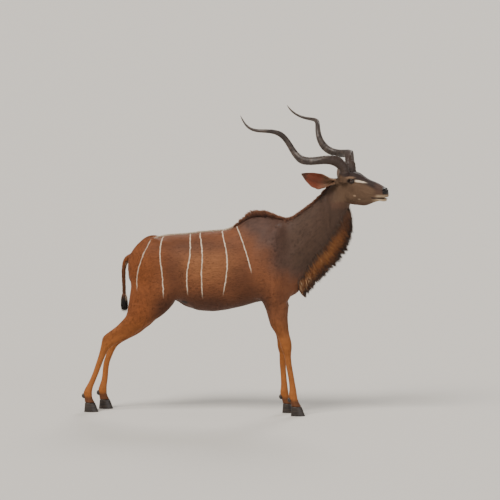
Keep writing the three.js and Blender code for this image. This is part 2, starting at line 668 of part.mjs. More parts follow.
// A tube of varying round section through points, capped at both ends.
function tube(points, radii, sides, flat = 1, samples = points.length * 2) {
  const curve = new THREE.CatmullRomCurve3(points, false, 'centripetal');
  const sections = [];
  let normal = new THREE.Vector3(0.13, 0.9, 0.21);
  for (let i = 0; i <= samples; i += 1) {
    const u = i / samples;
    const p = curve.getPoint(u);
    const tangent = curve.getTangent(u);
    normal = normal.clone().addScaledVector(tangent, -normal.dot(tangent)).normalize();
    const other = new THREE.Vector3().crossVectors(tangent, normal);
    const place01 = u * (radii.length - 1);
    const index = Math.min(radii.length - 2, Math.floor(place01));
    const r = mix(radii[index], radii[index + 1], place01 - index);
    const ring = [];
    for (let k = 0; k < sides; k += 1) {
      const angle = 2 * Math.PI * k / sides;
      const q = p.clone().addScaledVector(normal, Math.cos(angle) * r * flat);
      ring.push(q.addScaledVector(other, Math.sin(angle) * r));
    }
    sections.push(ring);
  }
  return loft(sections);
}

function eyeBall(side, grow) {
  const r = EYE_RADIUS + grow;
  return solid(egg(EYE_CENTRE.a, EYE_CENTRE.b * side, EYE_CENTRE.c, r, r, r, 0, 0, 12, 7));
}

// Horns stand in close collars of skin on the forehead.
const HORN_SEAT_C = -14;
function trimmedHorn(side, grow) {
  const horn = solid(hornGeometry(side, grow));
  const cutter = new THREE.BoxGeometry(300, 160, 200);
  cutter.translate(-57, 45 * side, HORN_SEAT_C - grow - 100);
  cutter.applyMatrix4(HEAD_BASIS);
  return largest(horn.subtract(solid(cutter)));
}
for (const side of [-1, 1]) {
  const boss = [];
  for (const [k, r] of [[-70, 52], [-30, 50], [-6, 44], [6, 39.5]]) {
    const ring = [];
    for (let i = 0; i < 12; i += 1) {
      const angle = 2 * Math.PI * i / 12;
      ring.push(headPoint(-57 + Math.cos(angle) * r, 45 * side + Math.sin(angle) * r * 0.92, k));
    }
    boss.push(ring);
  }
  head = head.add(solid(loft(boss)));
  // Brow over the eye, cheek below it, and the wing of the nostril.
  head = head.add(solid(egg(-2, 56 * side, -36, 36, 19, 13, 0, 0.1, 8, 5)));
  head = head.add(solid(egg(-22, 44 * side, -150, 62, 22, 56, 0, 0.25, 8, 6)));
  head = head.add(solid(egg(234, 19 * side, -116, 21, 17, 17, -0.3 * side, 0.35, 8, 5)));
  // Lids stand a little proud of the ball with an almond opening.
  const lidB = (EYE_CENTRE.b + 1) * side;
  head = head.add(solid(egg(EYE_CENTRE.a, lidB, EYE_CENTRE.c, 29, 23.5, 24, 0, 0, 12, 7)));
}

// Mouth, open by a finger's width towards the front.
const mouthSide = new THREE.Shape([
  new THREE.Vector2(MOUTH_CORNER.a, MOUTH_CORNER.c),
  new THREE.Vector2(205, -179),
  new THREE.Vector2(243, -184),
  new THREE.Vector2(246, -230),
  new THREE.Vector2(290, -230),
  new THREE.Vector2(290, -162),
  new THREE.Vector2(205, -167),
]);
const mouth = new THREE.ExtrudeGeometry(mouthSide, { depth: 140, bevelEnabled: false });
mouth.translate(0, 0, -70);
mouth.applyMatrix4(new THREE.Matrix4().makeBasis(
  new THREE.Vector3(1, 0, 0), new THREE.Vector3(0, 0, 1), new THREE.Vector3(0, -1, 0),
));
mouth.applyMatrix4(HEAD_BASIS);
head = head.subtract(solid(mouth));
const UPPER_LIP = [
  [152, 34, -168],
  [185, 34, -164],
  [214, 33, -160],
  [238, 27, -157],
  [251, 13, -156],
  [254, 0, -156],
];
const LOWER_LIP = [
  [152, 33, -174],
  [185, 32, -183],
  [208, 29, -187],
  [224, 22, -190],
  [234, 11, -191],
  [237, 0, -191],
];
for (const lip of [UPPER_LIP, LOWER_LIP]) {
  const halfLip = lip.map(([a, b, c]) => headPoint(a, b, c));
  const otherHalf = lip.slice(0, -1).reverse().map(([a, b, c]) => headPoint(a, -b, c));
  head = head.add(solid(tube([...halfLip, ...otherHalf], [3, 6, 7.5, 8, 7.5, 6, 3], 6, 1, 10)));
}

for (const side of [-1, 1]) {
  const word = side > 0 ? 'left' : 'right';
  head = head.subtract(solid(egg(246, 25 * side, -114, 14, 8, 7, -0.5 * side, 0.35, 7, 5)));
  head = head.subtract(eyeBall(side, JOINT_GAP + 0.2));
  const slitB = (EYE_CENTRE.b + 27) * side;
  head = head.subtract(solid(egg(EYE_CENTRE.a, slitB, EYE_CENTRE.c, 19, 24, 11, 0, 0.12, 10, 6)));
  head = head.subtract(trimmedHorn(side, JOINT_GAP + 0.1));
  place(`horn_${word}`, toGeometry(trimmedHorn(side, 0)), HORN_DARK);
  place(`eye_${word}`, toGeometry(eyeBall(side, 0)), EYE_DARK);
}

// Ears: rolled at the root, opening into a broad leaf with a pointed tip.
const EAR_ROWS = [
  { t: 0, half: 20, curl: 150, back: -19 },
  { t: 0.14, half: 27, curl: 135, back: -26 },
  { t: 0.3, half: 43, curl: 108, back: -33 },
  { t: 0.46, half: 56, curl: 84, back: -36 },
  { t: 0.64, half: 50, curl: 68, back: -30 },
  { t: 0.8, half: 33, curl: 56, back: -18 },
  { t: 0.92, half: 16, curl: 48, back: -7 },
  { t: 1, half: 4, curl: 40, back: 2 },
];
const EAR_THICK = 5;
const EAR_SEAT = 9;
function earFrame(side) {
  const root = headPoint(EAR_ROOT.a, EAR_ROOT.b * side, EAR_ROOT.c);
  const zero = headPoint(0, 0, 0);
  const axis = headPoint(-0.6, 0.74 * side, 0.27).sub(zero).normalize();
  const open = headPoint(0.76, 0.62 * side, -0.06).sub(zero);
  open.addScaledVector(axis, -open.dot(axis)).normalize();
  const wide = new THREE.Vector3().crossVectors(axis, open);
  const hang = HEAD_UP.clone().negate().addScaledVector(axis, axis.dot(HEAD_UP)).normalize();
  return { root, axis, open, wide, hang };
}
function earGeometry(side) {
  const { root, axis, open, wide, hang } = earFrame(side);
  const sections = [];
  for (let i = 0; i <= 11; i += 1) {
    const t = i / 11;
    const half = along(EAR_ROWS, 't', 'half', t);
    const curl = THREE.MathUtils.degToRad(along(EAR_ROWS, 't', 'curl', t));
    const back = along(EAR_ROWS, 't', 'back', t);
    const radius = half / (curl < Math.PI / 2 ? Math.sin(curl) : 1);
    const thick = Math.min(EAR_THICK, half * 0.6);
    const centre = root.clone().addScaledVector(axis, EAR_SEAT + JOINT_GAP + t * EAR_LENGTH);
    centre.addScaledVector(open, radius + back).addScaledVector(hang, EAR_SAG * Math.sin(Math.PI * t));
    const ring = [];
    for (let k = 0; k <= 7; k += 1) {
      const angle = mix(-curl, curl, k / 7);
      const q = centre.clone().addScaledVector(wide, radius * Math.sin(angle));
      ring.push(q.addScaledVector(open, -radius * Math.cos(angle)));
    }
    for (let k = 6; k >= 1; k -= 1) {
      const angle = mix(-curl, curl, k / 7) * 0.96;
      const r = radius - thick;
      const q = centre.clone().addScaledVector(wide, r * Math.sin(angle));
      ring.push(q.addScaledVector(open, -r * Math.cos(angle)));
    }
    sections.push(ring.reverse());
  }
  return loft(sections);
}
for (const side of [-1, 1]) {
  const word = side > 0 ? 'left' : 'right';
  const { root, axis } = earFrame(side);
  const stubPoints = [-60, -20, EAR_SEAT].map((s) => root.clone().addScaledVector(axis, s));
  head = head.add(solid(tube(stubPoints, [34, 30, 24], 10, 1, 3)));
  place(`ear_${word}`, earGeometry(side), COAT_GREY);
}
head = largest(head);
place('head', toGeometry(head), COAT_GREY);

// Tail: a thin dock hanging behind the thighs, with a dark tuft at its end.
const TAIL_PATH = [
  [-440, 1092],
  [-480, 1090],
  [-512, 1076],
  [-531, 1045],
  [-537, 1000],
  [-535, 920],
  [-532, 840],
  [-530, 790],
];
const TAIL_SEAT = new THREE.Vector3(-521, 0, 1066);
const TAIL_TURN = new THREE.Vector3(-0.62, 0, -0.78);
const tailPoints = TAIL_PATH.map(([x, z]) => new THREE.Vector3(x, 0, z));
const dock = solid(tube(tailPoints, [28, 26, 21, 17, 14, 12, 11, 10], 9, 1.25, 10));
const tailTop = TAIL_SEAT.clone().addScaledVector(TAIL_TURN, JOINT_GAP);
let tail = dock.subtract(beyond(tailTop, TAIL_TURN.clone().negate()));
const tuftPoints = [[-531, 828], [-532, 785], [-535, 742]].map(([x, z]) => new THREE.Vector3(x, 0, z));
tail = tail.add(solid(tube(tuftPoints, [9, 15, 6], 7, 1.1, 4)));
const rump = toGeometry(torso);
rump.translate(-2 * JOINT_GAP, 0, 0);
tail = tail.subtract(solid(rump));
torso = torso.add(dock.subtract(beyond(TAIL_SEAT, TAIL_TURN)));

// Throat mane by neck station: how far its outer edge hangs from the throat.
const BEARD = [
  { t: 0.02, tipX: 752, tipZ: 824 },
  { t: 0.16, tipX: 832, tipZ: 918 },
  { t: 0.32, tipX: 912, tipZ: 998 },
  { t: 0.48, tipX: 986, tipZ: 1080 },
  { t: 0.64, tipX: 1044, tipZ: 1172 },
  { t: 0.8, tipX: 1068, tipZ: 1262 },
  { t: 0.9, tipX: 1076, tipZ: 1349 },
  { t: 0.96, tipX: 1078, tipZ: 1420 },
];
const CREST_HEIGHT = 36;
const NAPE_HEIGHT = 20;

// Fin from a line of roots to a line of tips, thick at the root.
function fin(stations, rootHalf, sink) {
  const sections = stations.map(({ root, tip, side }) => {
    const out = tip.clone().sub(root).normalize();
    const deep = root.clone().addScaledVector(out, -sink);
    const length = tip.distanceTo(deep);
    const ring = [];
    for (const [share, width] of [[0, 0.7], [0.35, 1], [0.7, 0.62], [1, 0.12]]) {
      ring.push(deep.clone().addScaledVector(out, share * length).addScaledVector(side, -rootHalf * width));
    }
    for (const [share, width] of [[1, 0.12], [0.7, 0.62], [0.35, 1], [0, 0.7]]) {
      ring.push(deep.clone().addScaledVector(out, share * length).addScaledVector(side, rootHalf * width));
    }
    return ring;
  });
  return loft(sections);
}

// Seeded draws for the hair.
let seed = 20417;
function draw() {
  seed = (Math.imul(seed, 1664525) + 1013904223) >>> 0;
  return seed / 4294967296;
}
const vary = (middle, spread) => middle * (1 + spread * (2 * draw() - 1));

// A flat tapered lock: it leaves its root along a direction and bends over to its tip.
const LOCK_WIDTHS = [[0, 0.8], [0.34, 1], [0.7, 0.66], [1, 0.07]];
function lock({ root, out, tip, lateral, width, thick, sink, turn }) {
  const start = root.clone().addScaledVector(out, -sink);
  const length = tip.distanceTo(root);
  const first = root.clone().addScaledVector(out, length * 0.15);
  const second = root.clone().addScaledVector(out, length * 0.5).lerp(tip, 0.35);
  const curve = new THREE.CubicBezierCurve3(start, first, second, tip);
  const sections = LOCK_WIDTHS.map(([share, wide]) => {
    const p = curve.getPoint(share);
    const tangent = curve.getTangent(share);
    const across = new THREE.Vector3().crossVectors(tangent, lateral).normalize();
    across.applyAxisAngle(tangent, turn);
    const flat = new THREE.Vector3().crossVectors(tangent, across).normalize();
    const w = width / 2 * wide;
    const h = thick / 2 * (0.35 + 0.65 * wide);
    return [
      p.clone().addScaledVector(across, w),
      p.clone().addScaledVector(flat, h),
      p.clone().addScaledVector(across, -w),
      p.clone().addScaledVector(flat, -h),
    ];
  });
  return solid(loft(sections));
}

// Throat mane: a core half as deep as the hair, then locks that sweep down the throat to the outer edge.
const BEARD_LOCKS = 16;
const BEARD_LOCK_WIDTH = 54;
const BEARD_SWEEP = 0.1;
const BEARD_CORE = 0.42;
function beardEdge(t) {
  const at = Math.max(0.02, Math.min(0.96, t));
  return new THREE.Vector3(along(BEARD, 't', 'tipX', at), neckSpine(at).low.y, along(BEARD, 't', 'tipZ', at));
}
const beardStations = [];
for (let i = 0; i <= 7; i += 1) {
  const t = mix(0.03, 0.94, i / 7);
  const root = neckSpine(t).low;
  beardStations.push({ root, tip: root.clone().lerp(beardEdge(t), BEARD_CORE), side: neckFrame(t) });
}
neck = neck.add(solid(fin(beardStations, 30, 40)));
for (let i = 0; i < BEARD_LOCKS; i += 1) {
  for (const side of [-1, 1]) {
    const t = mix(0.05, 0.97, (i + (side > 0 ? 0.5 : 0) + 0.5 * draw()) / BEARD_LOCKS);
    const lateral = neckFrame(t);
    const root = neckSpine(t).low.addScaledVector(lateral, side * vary(15, 0.4));
    const edge = beardEdge(t - BEARD_SWEEP * vary(1, 0.6));
    const out = beardEdge(t).sub(neckSpine(t).low).normalize();
    out.addScaledVector(lateral, side * 0.22).normalize();
    const tip = root.clone().lerp(edge, vary(0.89, 0.12)).addScaledVector(lateral, side * vary(5, 1.6));
    const width = vary(BEARD_LOCK_WIDTH, 0.3);
    const turn = side * vary(0.3, 0.9);
    neck = neck.add(lock({ root, out, tip, lateral, width, thick: 11, sink: 30, turn }));
  }
}

// Nape crest: short locks standing along the top of the neck, leaning back.
const NAPE_LOCKS = 12;
const NAPE_LOCK_WIDTH = 50;
for (let i = 0; i < NAPE_LOCKS; i += 1) {
  const t = mix(0.04, 0.93, (i + 0.5 * draw()) / NAPE_LOCKS);
  const root = neckSpine(t).top;
  const up = root.clone().sub(neckSpine(t).low).normalize();
  const lateral = neckFrame(t);
  const ahead = new THREE.Vector3().crossVectors(lateral, up).normalize();
  const tall = NAPE_HEIGHT * vary(1.2, 0.3);
  const tip = root.clone().addScaledVector(up, tall).addScaledVector(ahead, -tall * vary(1.1, 0.4));
  tip.addScaledVector(lateral, 10 * (draw() - 0.5));
  const width = vary(NAPE_LOCK_WIDTH, 0.25);
  const turn = 0.4 * (draw() - 0.5);
  neck = neck.add(lock({ root, out: up, tip, lateral, width, thick: 10, sink: 16, turn }));
}

// Withers crest: taller brown locks over the shoulder.
const CREST_LOCKS = 12;
const CREST_LOCK_WIDTH = 50;
const UPRIGHT = new THREE.Vector3(0, 0, 1);
const LEFTWARD = new THREE.Vector3(0, 1, 0);
for (let i = 0; i < CREST_LOCKS; i += 1) {
  const share = (i + 0.6 * draw()) / CREST_LOCKS;
  const x = mix(268, 580, share);
  const root = new THREE.Vector3(x, 6 * (draw() - 0.5), along(TRUNK, 'x', 'top', x));
  const swell = Math.sqrt(Math.max(0.2, Math.sin(Math.PI * Math.min(1, share * 1.1 + 0.05))));
  const tall = CREST_HEIGHT * vary(0.95, 0.2) * swell;
  const tip = root.clone().add(new THREE.Vector3(-tall * vary(0.6, 0.6), 11 * (draw() - 0.5), tall));
  const width = vary(CREST_LOCK_WIDTH, 0.3);
  const turn = 0.6 * (draw() - 0.5);
  torso = torso.add(lock({ root, out: UPRIGHT, tip, lateral: LEFTWARD, width, thick: 11, sink: 22, turn }));
}

// Tail tuft: locks hanging round the end of the dock.
const TUFT_LOCKS = 8;
for (let i = 0; i < TUFT_LOCKS; i += 1) {
  const angle = 2 * Math.PI * (i + 0.3 * draw()) / TUFT_LOCKS;
  const radial = new THREE.Vector3(Math.cos(angle), Math.sin(angle), 0);
  const root = new THREE.Vector3(-531, 0, vary(806, 0.015)).addScaledVector(radial, 7);
  const tip = new THREE.Vector3(-541, 0, vary(684, 0.03)).addScaledVector(radial, vary(9, 0.7));
  const out = radial.clone().multiplyScalar(0.75).add(new THREE.Vector3(0, 0, -0.65)).normalize();
  const width = vary(23, 0.2);
  tail = tail.add(lock({ root, out, tip, lateral: radial, width, thick: 8, sink: 5, turn: 0 }));
}

// Growth on the neck and torso stops at the planes where the nodes meet.
const NECK_BASE = new THREE.Vector3(NECK[0].topX, 0, NECK[0].topZ);
const NECK_AHEAD = new THREE.Vector3(NECK[0].topZ - NECK[0].lowZ, 0, NECK[0].lowX - NECK[0].topX).normalize();
const POLL_AHEAD = new THREE.Vector3().crossVectors(HEAD_LEFT, POLL_TOP.clone().sub(POLL_LOW)).normalize();
neck = neck.subtract(beyond(NECK_BASE, NECK_AHEAD.clone().negate()));
neck = neck.subtract(beyond(POLL_TOP.clone().addScaledVector(POLL_AHEAD, -JOINT_GAP), POLL_AHEAD));
torso = torso.subtract(beyond(NECK_BASE.clone().addScaledVector(NECK_AHEAD, -JOINT_GAP), NECK_AHEAD));

// Nodes of the flesh are placed once what grows on them is joined.
place('torso', toGeometry(largest(torso)), COAT_BROWN);
place('neck', toGeometry(largest(neck)), COAT_GREY);
place('tail', toGeometry(largest(tail)), COAT_BROWN);

for (const mesh of group.children) mesh.geometry.translate(-FRAME_X, -FRAME_Y, 0);

export default group;
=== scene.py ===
"""Greater kudu bull, life size.

One furred skin with horns, hooves, eyes, ears, throat mane, crests and tail tuft.
"""

import math

import bmesh
import bpy
import numpy as np
from mathutils import Matrix, Vector
from mathutils.kdtree import KDTree


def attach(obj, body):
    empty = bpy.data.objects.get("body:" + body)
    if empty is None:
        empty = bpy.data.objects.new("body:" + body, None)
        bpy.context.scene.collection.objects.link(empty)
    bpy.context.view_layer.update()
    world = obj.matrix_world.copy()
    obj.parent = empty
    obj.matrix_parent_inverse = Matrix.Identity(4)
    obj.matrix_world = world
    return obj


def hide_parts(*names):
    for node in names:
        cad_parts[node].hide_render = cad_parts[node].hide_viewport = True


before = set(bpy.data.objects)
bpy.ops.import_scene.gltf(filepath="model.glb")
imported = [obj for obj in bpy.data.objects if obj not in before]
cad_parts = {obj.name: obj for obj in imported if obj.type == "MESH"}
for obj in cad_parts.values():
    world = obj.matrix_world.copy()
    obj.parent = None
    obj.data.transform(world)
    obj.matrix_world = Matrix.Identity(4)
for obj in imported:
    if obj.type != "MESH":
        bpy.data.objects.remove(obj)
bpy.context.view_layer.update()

bl_info = {
    "name": "Greater kudu bull",
    "version": (1, 0, 0),
    "blender": (4, 5, 0),
    "location": "View3D > Sidebar > Kudu",
    "description": "Builds a life-size standing greater kudu bull with its coat, horns and studio",
    "category": "Object",
}

MM = 0.001
FRAME_SHIFT = np.array([253.0, 157.0, 0.0])
RNG_SEED = 417

# Sizes in millimetres, in the frame where the withers stand over x 476 and the body's middle is y 0.
TRUNK = np.array([
    # x, back line, belly line, half width, widest level, sharpness of the back
    [-455, 1152, 880, 136, 0.50, 2.0],
    [-350, 1203, 838, 162, 0.50, 1.95],
    [-280, 1237, 808, 174, 0.52, 1.95],
    [-210, 1251, 794, 184, 0.52, 2.1],
    [-140, 1257, 780, 190, 0.50, 2.1],
    [-70, 1263, 747, 200, 0.48, 2.1],
    [0, 1275, 718, 209, 0.46, 2.1],
    [90, 1284, 714, 214, 0.44, 2.1],
    [175, 1293, 724, 213, 0.42, 2.0],
    [252, 1325, 741, 208, 0.40, 1.8],
    [301, 1358, 753, 202, 0.38, 1.65],
    [350, 1386, 768, 194, 0.37, 1.55],
    [420, 1400, 788, 182, 0.36, 1.5],
    [476, 1400, 794, 170, 0.38, 1.5],
    [525, 1389, 798, 158, 0.40, 1.55],
    [595, 1377, 806, 144, 0.42, 1.7],
    [660, 1385, 826, 130, 0.45, 1.8],
    [730, 1420, 880, 116, 0.48, 1.9],
])
RUMP_START, RUMP_DEPTH = -330.0, 178.0
LIMB_TAPER = 0.45
HIND = np.array([
    # z, front edge, back edge, half width, distance from the middle
    [1080, -230, -450, 60, 96],
    [1000, -196, -462, 76, 104],
    [900, -172, -474, 84, 108],
    [820, -180, -484, 78, 110],
    [760, -200, -493, 70, 110],
    [690, -264, -507, 61, 108],
    [640, -330, -545, 53, 105],
    [600, -378, -586, 46, 102],
    [573, -418, -622, 41, 100],
    [550, -448, -652, 36, 99],
    [527, -486, -672, 34, 98],
    [500, -540, -679, 33, 97],
    [472, -590, -684, 31, 96],
    [440, -626, -691, 27, 95],
    [400, -648, -701, 23, 94],
    [336, -673, -721, 21, 93],
    [273, -696, -742, 20, 92],
    [209, -721, -769, 21, 92],
    [165, -737, -793, 26, 92],
    [138, -741, -804, 29, 92],
    [112, -741, -806, 28, 92],
    [88, -734, -798, 27, 92],
    [64, -720, -795, 30, 92],
])
FORE = np.array([
    # the same columns as the hind leg
    [1080, 640, 420, 66, 100],
    [1000, 656, 424, 74, 104],
    [920, 658, 432, 76, 104],
    [850, 646, 438, 72, 101],
    [800, 636, 452, 66, 96],
    [770, 632, 464, 62, 93],
    [700, 629, 484, 55, 89],
    [632, 633, 506, 48, 86],
    [580, 640, 540, 41, 84],
    [545, 649, 560, 38, 82],
    [510, 657, 572, 39, 81],
    [480, 659, 579, 39, 80],
    [450, 656, 589, 35, 80],
    [420, 655, 602, 28, 79],
    [360, 661, 613, 23, 78],
    [300, 672, 626, 21, 78],
    [230, 685, 638, 21, 78],
    [183, 694, 641, 25, 78],
    [150, 699, 638, 29, 78],
    [122, 704, 640, 28, 78],
    [96, 714, 650, 27, 78],
    [64, 733, 658, 30, 78],
])
FAR_HIND, FAR_FORE = 84.0, -70.0
HEAD_YAW, HEAD_ROLL = math.radians(-26.6), math.radians(4.1)
HEAD_ORIGIN = np.array([1080.0, -62.0, 1720.0])
HEAD = np.array([
    # top forward, top up, low forward, low up, half width above, half width of the jaw, widest level
    [-158, -66, -48, -226, 74, 72, 0.50],
    [-128, -40, -34, -229, 68, 68, 0.52],
    [-98, -22, -20, -231, 66, 64, 0.56],
    [-70, -12, -6, -233, 66, 61, 0.60],
    [-44, -5, 8, -234, 69, 59, 0.64],
    [-20, -1, 20, -234, 73, 58, 0.66],
    [0, 0, 32, -235, 74, 56, 0.66],
    [20, -4, 45, -236, 70, 54, 0.66],
    [40, -12, 60, -236, 61, 51, 0.64],
    [62, -24, 77, -235, 52, 48, 0.60],
    [86, -37, 97, -230, 46, 44, 0.56],
    [112, -49, 119, -221, 42, 40, 0.54],
    [140, -58, 144, -211, 39, 37, 0.52],
    [166, -66, 167, -203, 38, 36, 0.50],
    [190, -76, 189, -197, 38, 36, 0.50],
    [212, -87, 209, -193, 38, 35, 0.50],
    [232, -99, 227, -191, 36, 32, 0.52],
    [247, -111, 241, -188, 31, 27, 0.52],
    [256, -124, 251, -182, 21, 18, 0.50],
])
NECK_ROWS = [
    # share, top x, top z, throat x, throat z, half width, sideways place
    [0.00, 600, 1377, 697, 850, 122, 0],
    [0.16, 652, 1390, 752, 968, 116, -4],
    [0.32, 712, 1431, 812, 1062, 109, -10],
    [0.48, 776, 1480, 872, 1132, 101, -19],
    [0.64, 832, 1530, 930, 1208, 93, -30],
    [0.80, 882, 1588, 982, 1300, 85, -42],
]
BEARD_EDGE = np.array([
    # neck share, outer edge x, outer edge z
    [0.02, 752, 824],
    [0.16, 832, 918],
    [0.32, 912, 998],
    [0.48, 986, 1080],
    [0.64, 1044, 1172],
    [0.80, 1068, 1262],
    [0.90, 1076, 1349],
    [0.96, 1078, 1420],
])
EYE_RADIUS = 21.0
EYE_AT = (4.0, 55.0, -58.0)
EAR_ROOT = (-116.0, 66.0, -66.0)
EAR_LENGTH = 262.0
EAR_SAG = 24.0
EAR_ROWS = np.array([
    # share, half width, curl in degrees, back line
    [0.00, 20, 150, -19],
    [0.14, 27, 135, -26],
    [0.30, 43, 108, -33],
    [0.46, 56, 84, -36],
    [0.64, 50, 68, -30],
    [0.80, 33, 56, -18],
    [0.92, 16, 48, -7],
    [1.00, 3, 40, 2],
])
HORN_AXIS, HORN_HELIX, HORN_TURNS, HORN_PHASE = 873.0, 42.0, 2.02, 4.166
HORN_SPREAD, HORN_RISE, HORN_BOW_UP, HORN_BOW_OUT = 0.445, 0.592, -149.0, 130.0
HORN_BASE, HORN_TIP = 37.0, 4.0
HORN_SEAT = (-57.0, 45.0)
UPPER_LIP = [
    # forward, sideways, up, from the corner of the mouth to the middle
    (150, 33, -169), (182, 33, -165), (212, 32, -161), (237, 26, -158), (250, 13, -157), (253, 0, -157),
]
LOWER_LIP = [
    (152, 31, -174), (185, 30, -182), (208, 28, -186), (224, 21, -189), (234, 11, -190), (237, 0, -190),
]
TAIL_PATH = [
    # x, z
    (-440, 1092), (-480, 1090), (-512, 1076), (-531, 1045),
    (-537, 1000), (-535, 920), (-532, 840), (-530, 790),
]
TAIL_RADII = [28, 26, 21, 17, 14, 12, 11, 9]
COAT_INSET = 4.0
FLOW_STRETCH = 0.06
OWN_NORMAL_SHARE = 0.15
PICTURE_MIDDLE = (0.097, -0.157, 1.153)
FLOOR_REACH = 600.0
VIEW_REACH = 1500.0
ROOM_LIGHT = 0.62


def smooth(t):
    """Eased share: level at 0 and at 1."""
    return t * t * (3 - 2 * t)


def mix(a, b, t):
    """From a to b by a share."""
    return a + (b - a) * t


def clamp01(t):
    """Kept between 0 and 1."""
    return np.clip(t, 0.0, 1.0)


def unit(v):
    """Vectors made one long."""
    v = np.asarray(v, float)
    return v / np.maximum(1e-9, np.linalg.norm(v, axis=-1, keepdims=True))


def side_name(side):
    """The body's left for 1 and its right for -1."""
    return "left" if side > 0 else "right"


def curve(rows, column, at):
    """Smooth value of a column of measured stations at places along the first column, without overshoot."""
    rows = np.asarray(rows, float)
    rows = rows[np.argsort(rows[:, 0])]
    x, y = rows[:, 0], rows[:, column]
    slope = np.diff(y) / np.diff(x)
    a, b = slope[:-1], slope[1:]
    safe = np.where(np.abs(a + b) < 1e-9, 1.0, a + b)
    middle = np.where(a * b <= 0, 0.0, 2 * a * b / safe)
    tangent = np.concatenate([[slope[0]], middle, [slope[-1]]])
    at = np.asarray(at, float)
    i = np.clip(np.searchsorted(x, at) - 1, 0, len(x) - 2)
    span = x[i + 1] - x[i]
    t = clamp01((at - x[i]) / span)
    h00, h10 = 2 * t**3 - 3 * t**2 + 1, t**3 - 2 * t**2 + t
    h01, h11 = 3 * t**2 - 2 * t**3, t**3 - t**2
    return h00 * y[i] + h10 * span * tangent[i] + h01 * y[i + 1] + h11 * span * tangent[i + 1]


def blend(a, b, reach):
    """The lower of two fields, rounded where they meet."""
    h = np.maximum(reach - np.abs(a - b), 0) / reach
    return np.minimum(a, b) - h * h * reach * 0.25


def trunk_field(p):
    """Field of the trunk alone, from its stations: negative inside."""
    x = np.clip(p[:, 0], TRUNK[0, 0], 730)
    top, bottom = curve(TRUNK, 1, x), curve(TRUNK, 2, x)
    level = mix(bottom, top, curve(TRUNK, 4, x))
    inset = clamp01((RUMP_START - p[:, 0]) / RUMP_DEPTH)
    half = curve(TRUNK, 3, x) * np.maximum(0.02, (1 - inset**2) ** 0.5)
    up = p[:, 2] > level
    tall = np.where(up, top - level, level - bottom) * np.maximum(0.02, (1 - inset**4) ** 0.25)
    power = np.where(up, curve(TRUNK, 5, x), 2.1)
    q = ((np.abs(p[:, 1]) / half) ** power + (np.abs(p[:, 2] - level) / tall) ** power) ** (1 / power)
    value = (q - 1) * np.minimum(half, tall)
    behind = RUMP_START - RUMP_DEPTH - p[:, 0]
    return np.where(behind > 0, 60 + behind, value)


def muscle(p, centre, radii, lean):
    """Field of one leaning oval of muscle: negative inside."""
    d = p - np.array(centre)
    c, s = math.cos(lean), math.sin(lean)
    u = (d[:, 0] * c + d[:, 2] * s) / radii[0]
    w = (-d[:, 0] * s + d[:, 2] * c) / radii[2]
    return (np.sqrt(u * u + (d[:, 1] / radii[1]) ** 2 + w * w) - 1) * min(radii)


def leg_step(fore, z):
    """How far along the body the far leg stands from the near one at a height."""
    z = np.asarray(z, float)
    if fore:
        return FAR_FORE * mix(1, 0.1, smooth(clamp01((z - 140) / 640)))
    low = smooth(clamp01((z - 130) / 220))
    return FAR_HIND * mix(mix(1, 0.44, low), 0, smooth(clamp01((z - 480) / 300)))


def leg_row(fore, far, z):
    """Front edge, back edge, half width and sideways place of one leg at a height."""
    rows = FORE if fore else HIND
    at = np.clip(z, 64, 1080)
    shift = leg_step(fore, z) if far else 0.0
    side = 1 if far else -1
    front, back = curve(rows, 1, at) + shift, curve(rows, 2, at) + shift
    return front, back, curve(rows, 3, at), curve(rows, 4, at) * side


def leg_field(p, fore, far):
    """Field of one leg alone: negative inside."""
    front, back, half, mid = leg_row(fore, far, p[:, 2])
    close = np.sqrt(np.maximum(0.001, 1 - clamp01((p[:, 2] - 1080) / 160) ** 2))
    deep = (front - back) / 2 * close
    ahead = (p[:, 0] - (front + back) / 2) / deep
    ending = clamp01(ahead if fore else -ahead)
    half = half * close * (1 - LIMB_TAPER * clamp01((p[:, 2] - 720) / 180) * ending)
    u = np.abs(ahead)
    v = np.abs(p[:, 1] - mid) / half
    value = ((u**2.3 + v**2.3) ** (1 / 2.3) - 1) * half
    return np.where(p[:, 2] > 1240, 100.0, value)


def flesh(p):
    """Whole flesh of trunk, shoulders, haunches and legs: negative inside."""
    body = trunk_field(p)
    hind = p[:, 0] < 100
    for far in (False, True):
        side = 1 if far else -1
        leg = leg_field(p, False, far)
        leg = blend(leg, muscle(p, (-330, side * 92, 1060), (150, 92, 125), 0.45), 60)
        leg = blend(leg, muscle(p, (-250, side * 116, 870), (84, 74, 150), -0.35), 50)
        arm = leg_field(p, True, far)
        arm = blend(arm, muscle(p, (505, side * 92, 1150), (92, 72, 210), -0.42), 60)
        arm = blend(arm, muscle(p, (500, side * 116, 940), (92, 66, 135), 0.3), 50)
        arm = blend(arm, muscle(p, (582, side * 90, 985), (80, 62, 100), 0.2), 60)
        low_hind = np.where(p[:, 2] < 800, 22.0, 46.0)
        low_fore = np.where(p[:, 2] < 820, 22.0, 40.0)
        body = np.where(hind, blend(body, leg, low_hind), blend(body, arm, low_fore))
    return blend(body, muscle(p, (-85, 0, 768), (48, 26, 23), -0.3), 30)


def torso_field(p):
    """The whole flesh, cut off level where the legs leave the trunk."""
    cut = np.where(p[:, 0] > 100, 770.0, 760.0)
    limb = (p[:, 0] > 395) | (p[:, 0] < -125)
    floor = np.where(limb, cut - 30, 600.0)
    return np.maximum(flesh(p), floor - p[:, 2])


def reach(field, centre, direction, limit):
    """Distance from each centre to the surface along its direction."""
    near = np.zeros(len(centre))
    far = np.full(len(centre), float(limit))
    going = np.ones(len(centre), bool)
    for r in range(8, int(limit) + 1, 8):
        out = field(centre + direction * r) > 0
        hit = going & out
        far[hit] = r
        going &= ~out
        near[going] = r
        if not going.any():
            break
    for _ in range(11):
        r = (near + far) / 2
        out = field(centre + direction * r[:, None]) > 0
        far = np.where(out, r, far)
        near = np.where(out, near, r)
    return (near + far) / 2


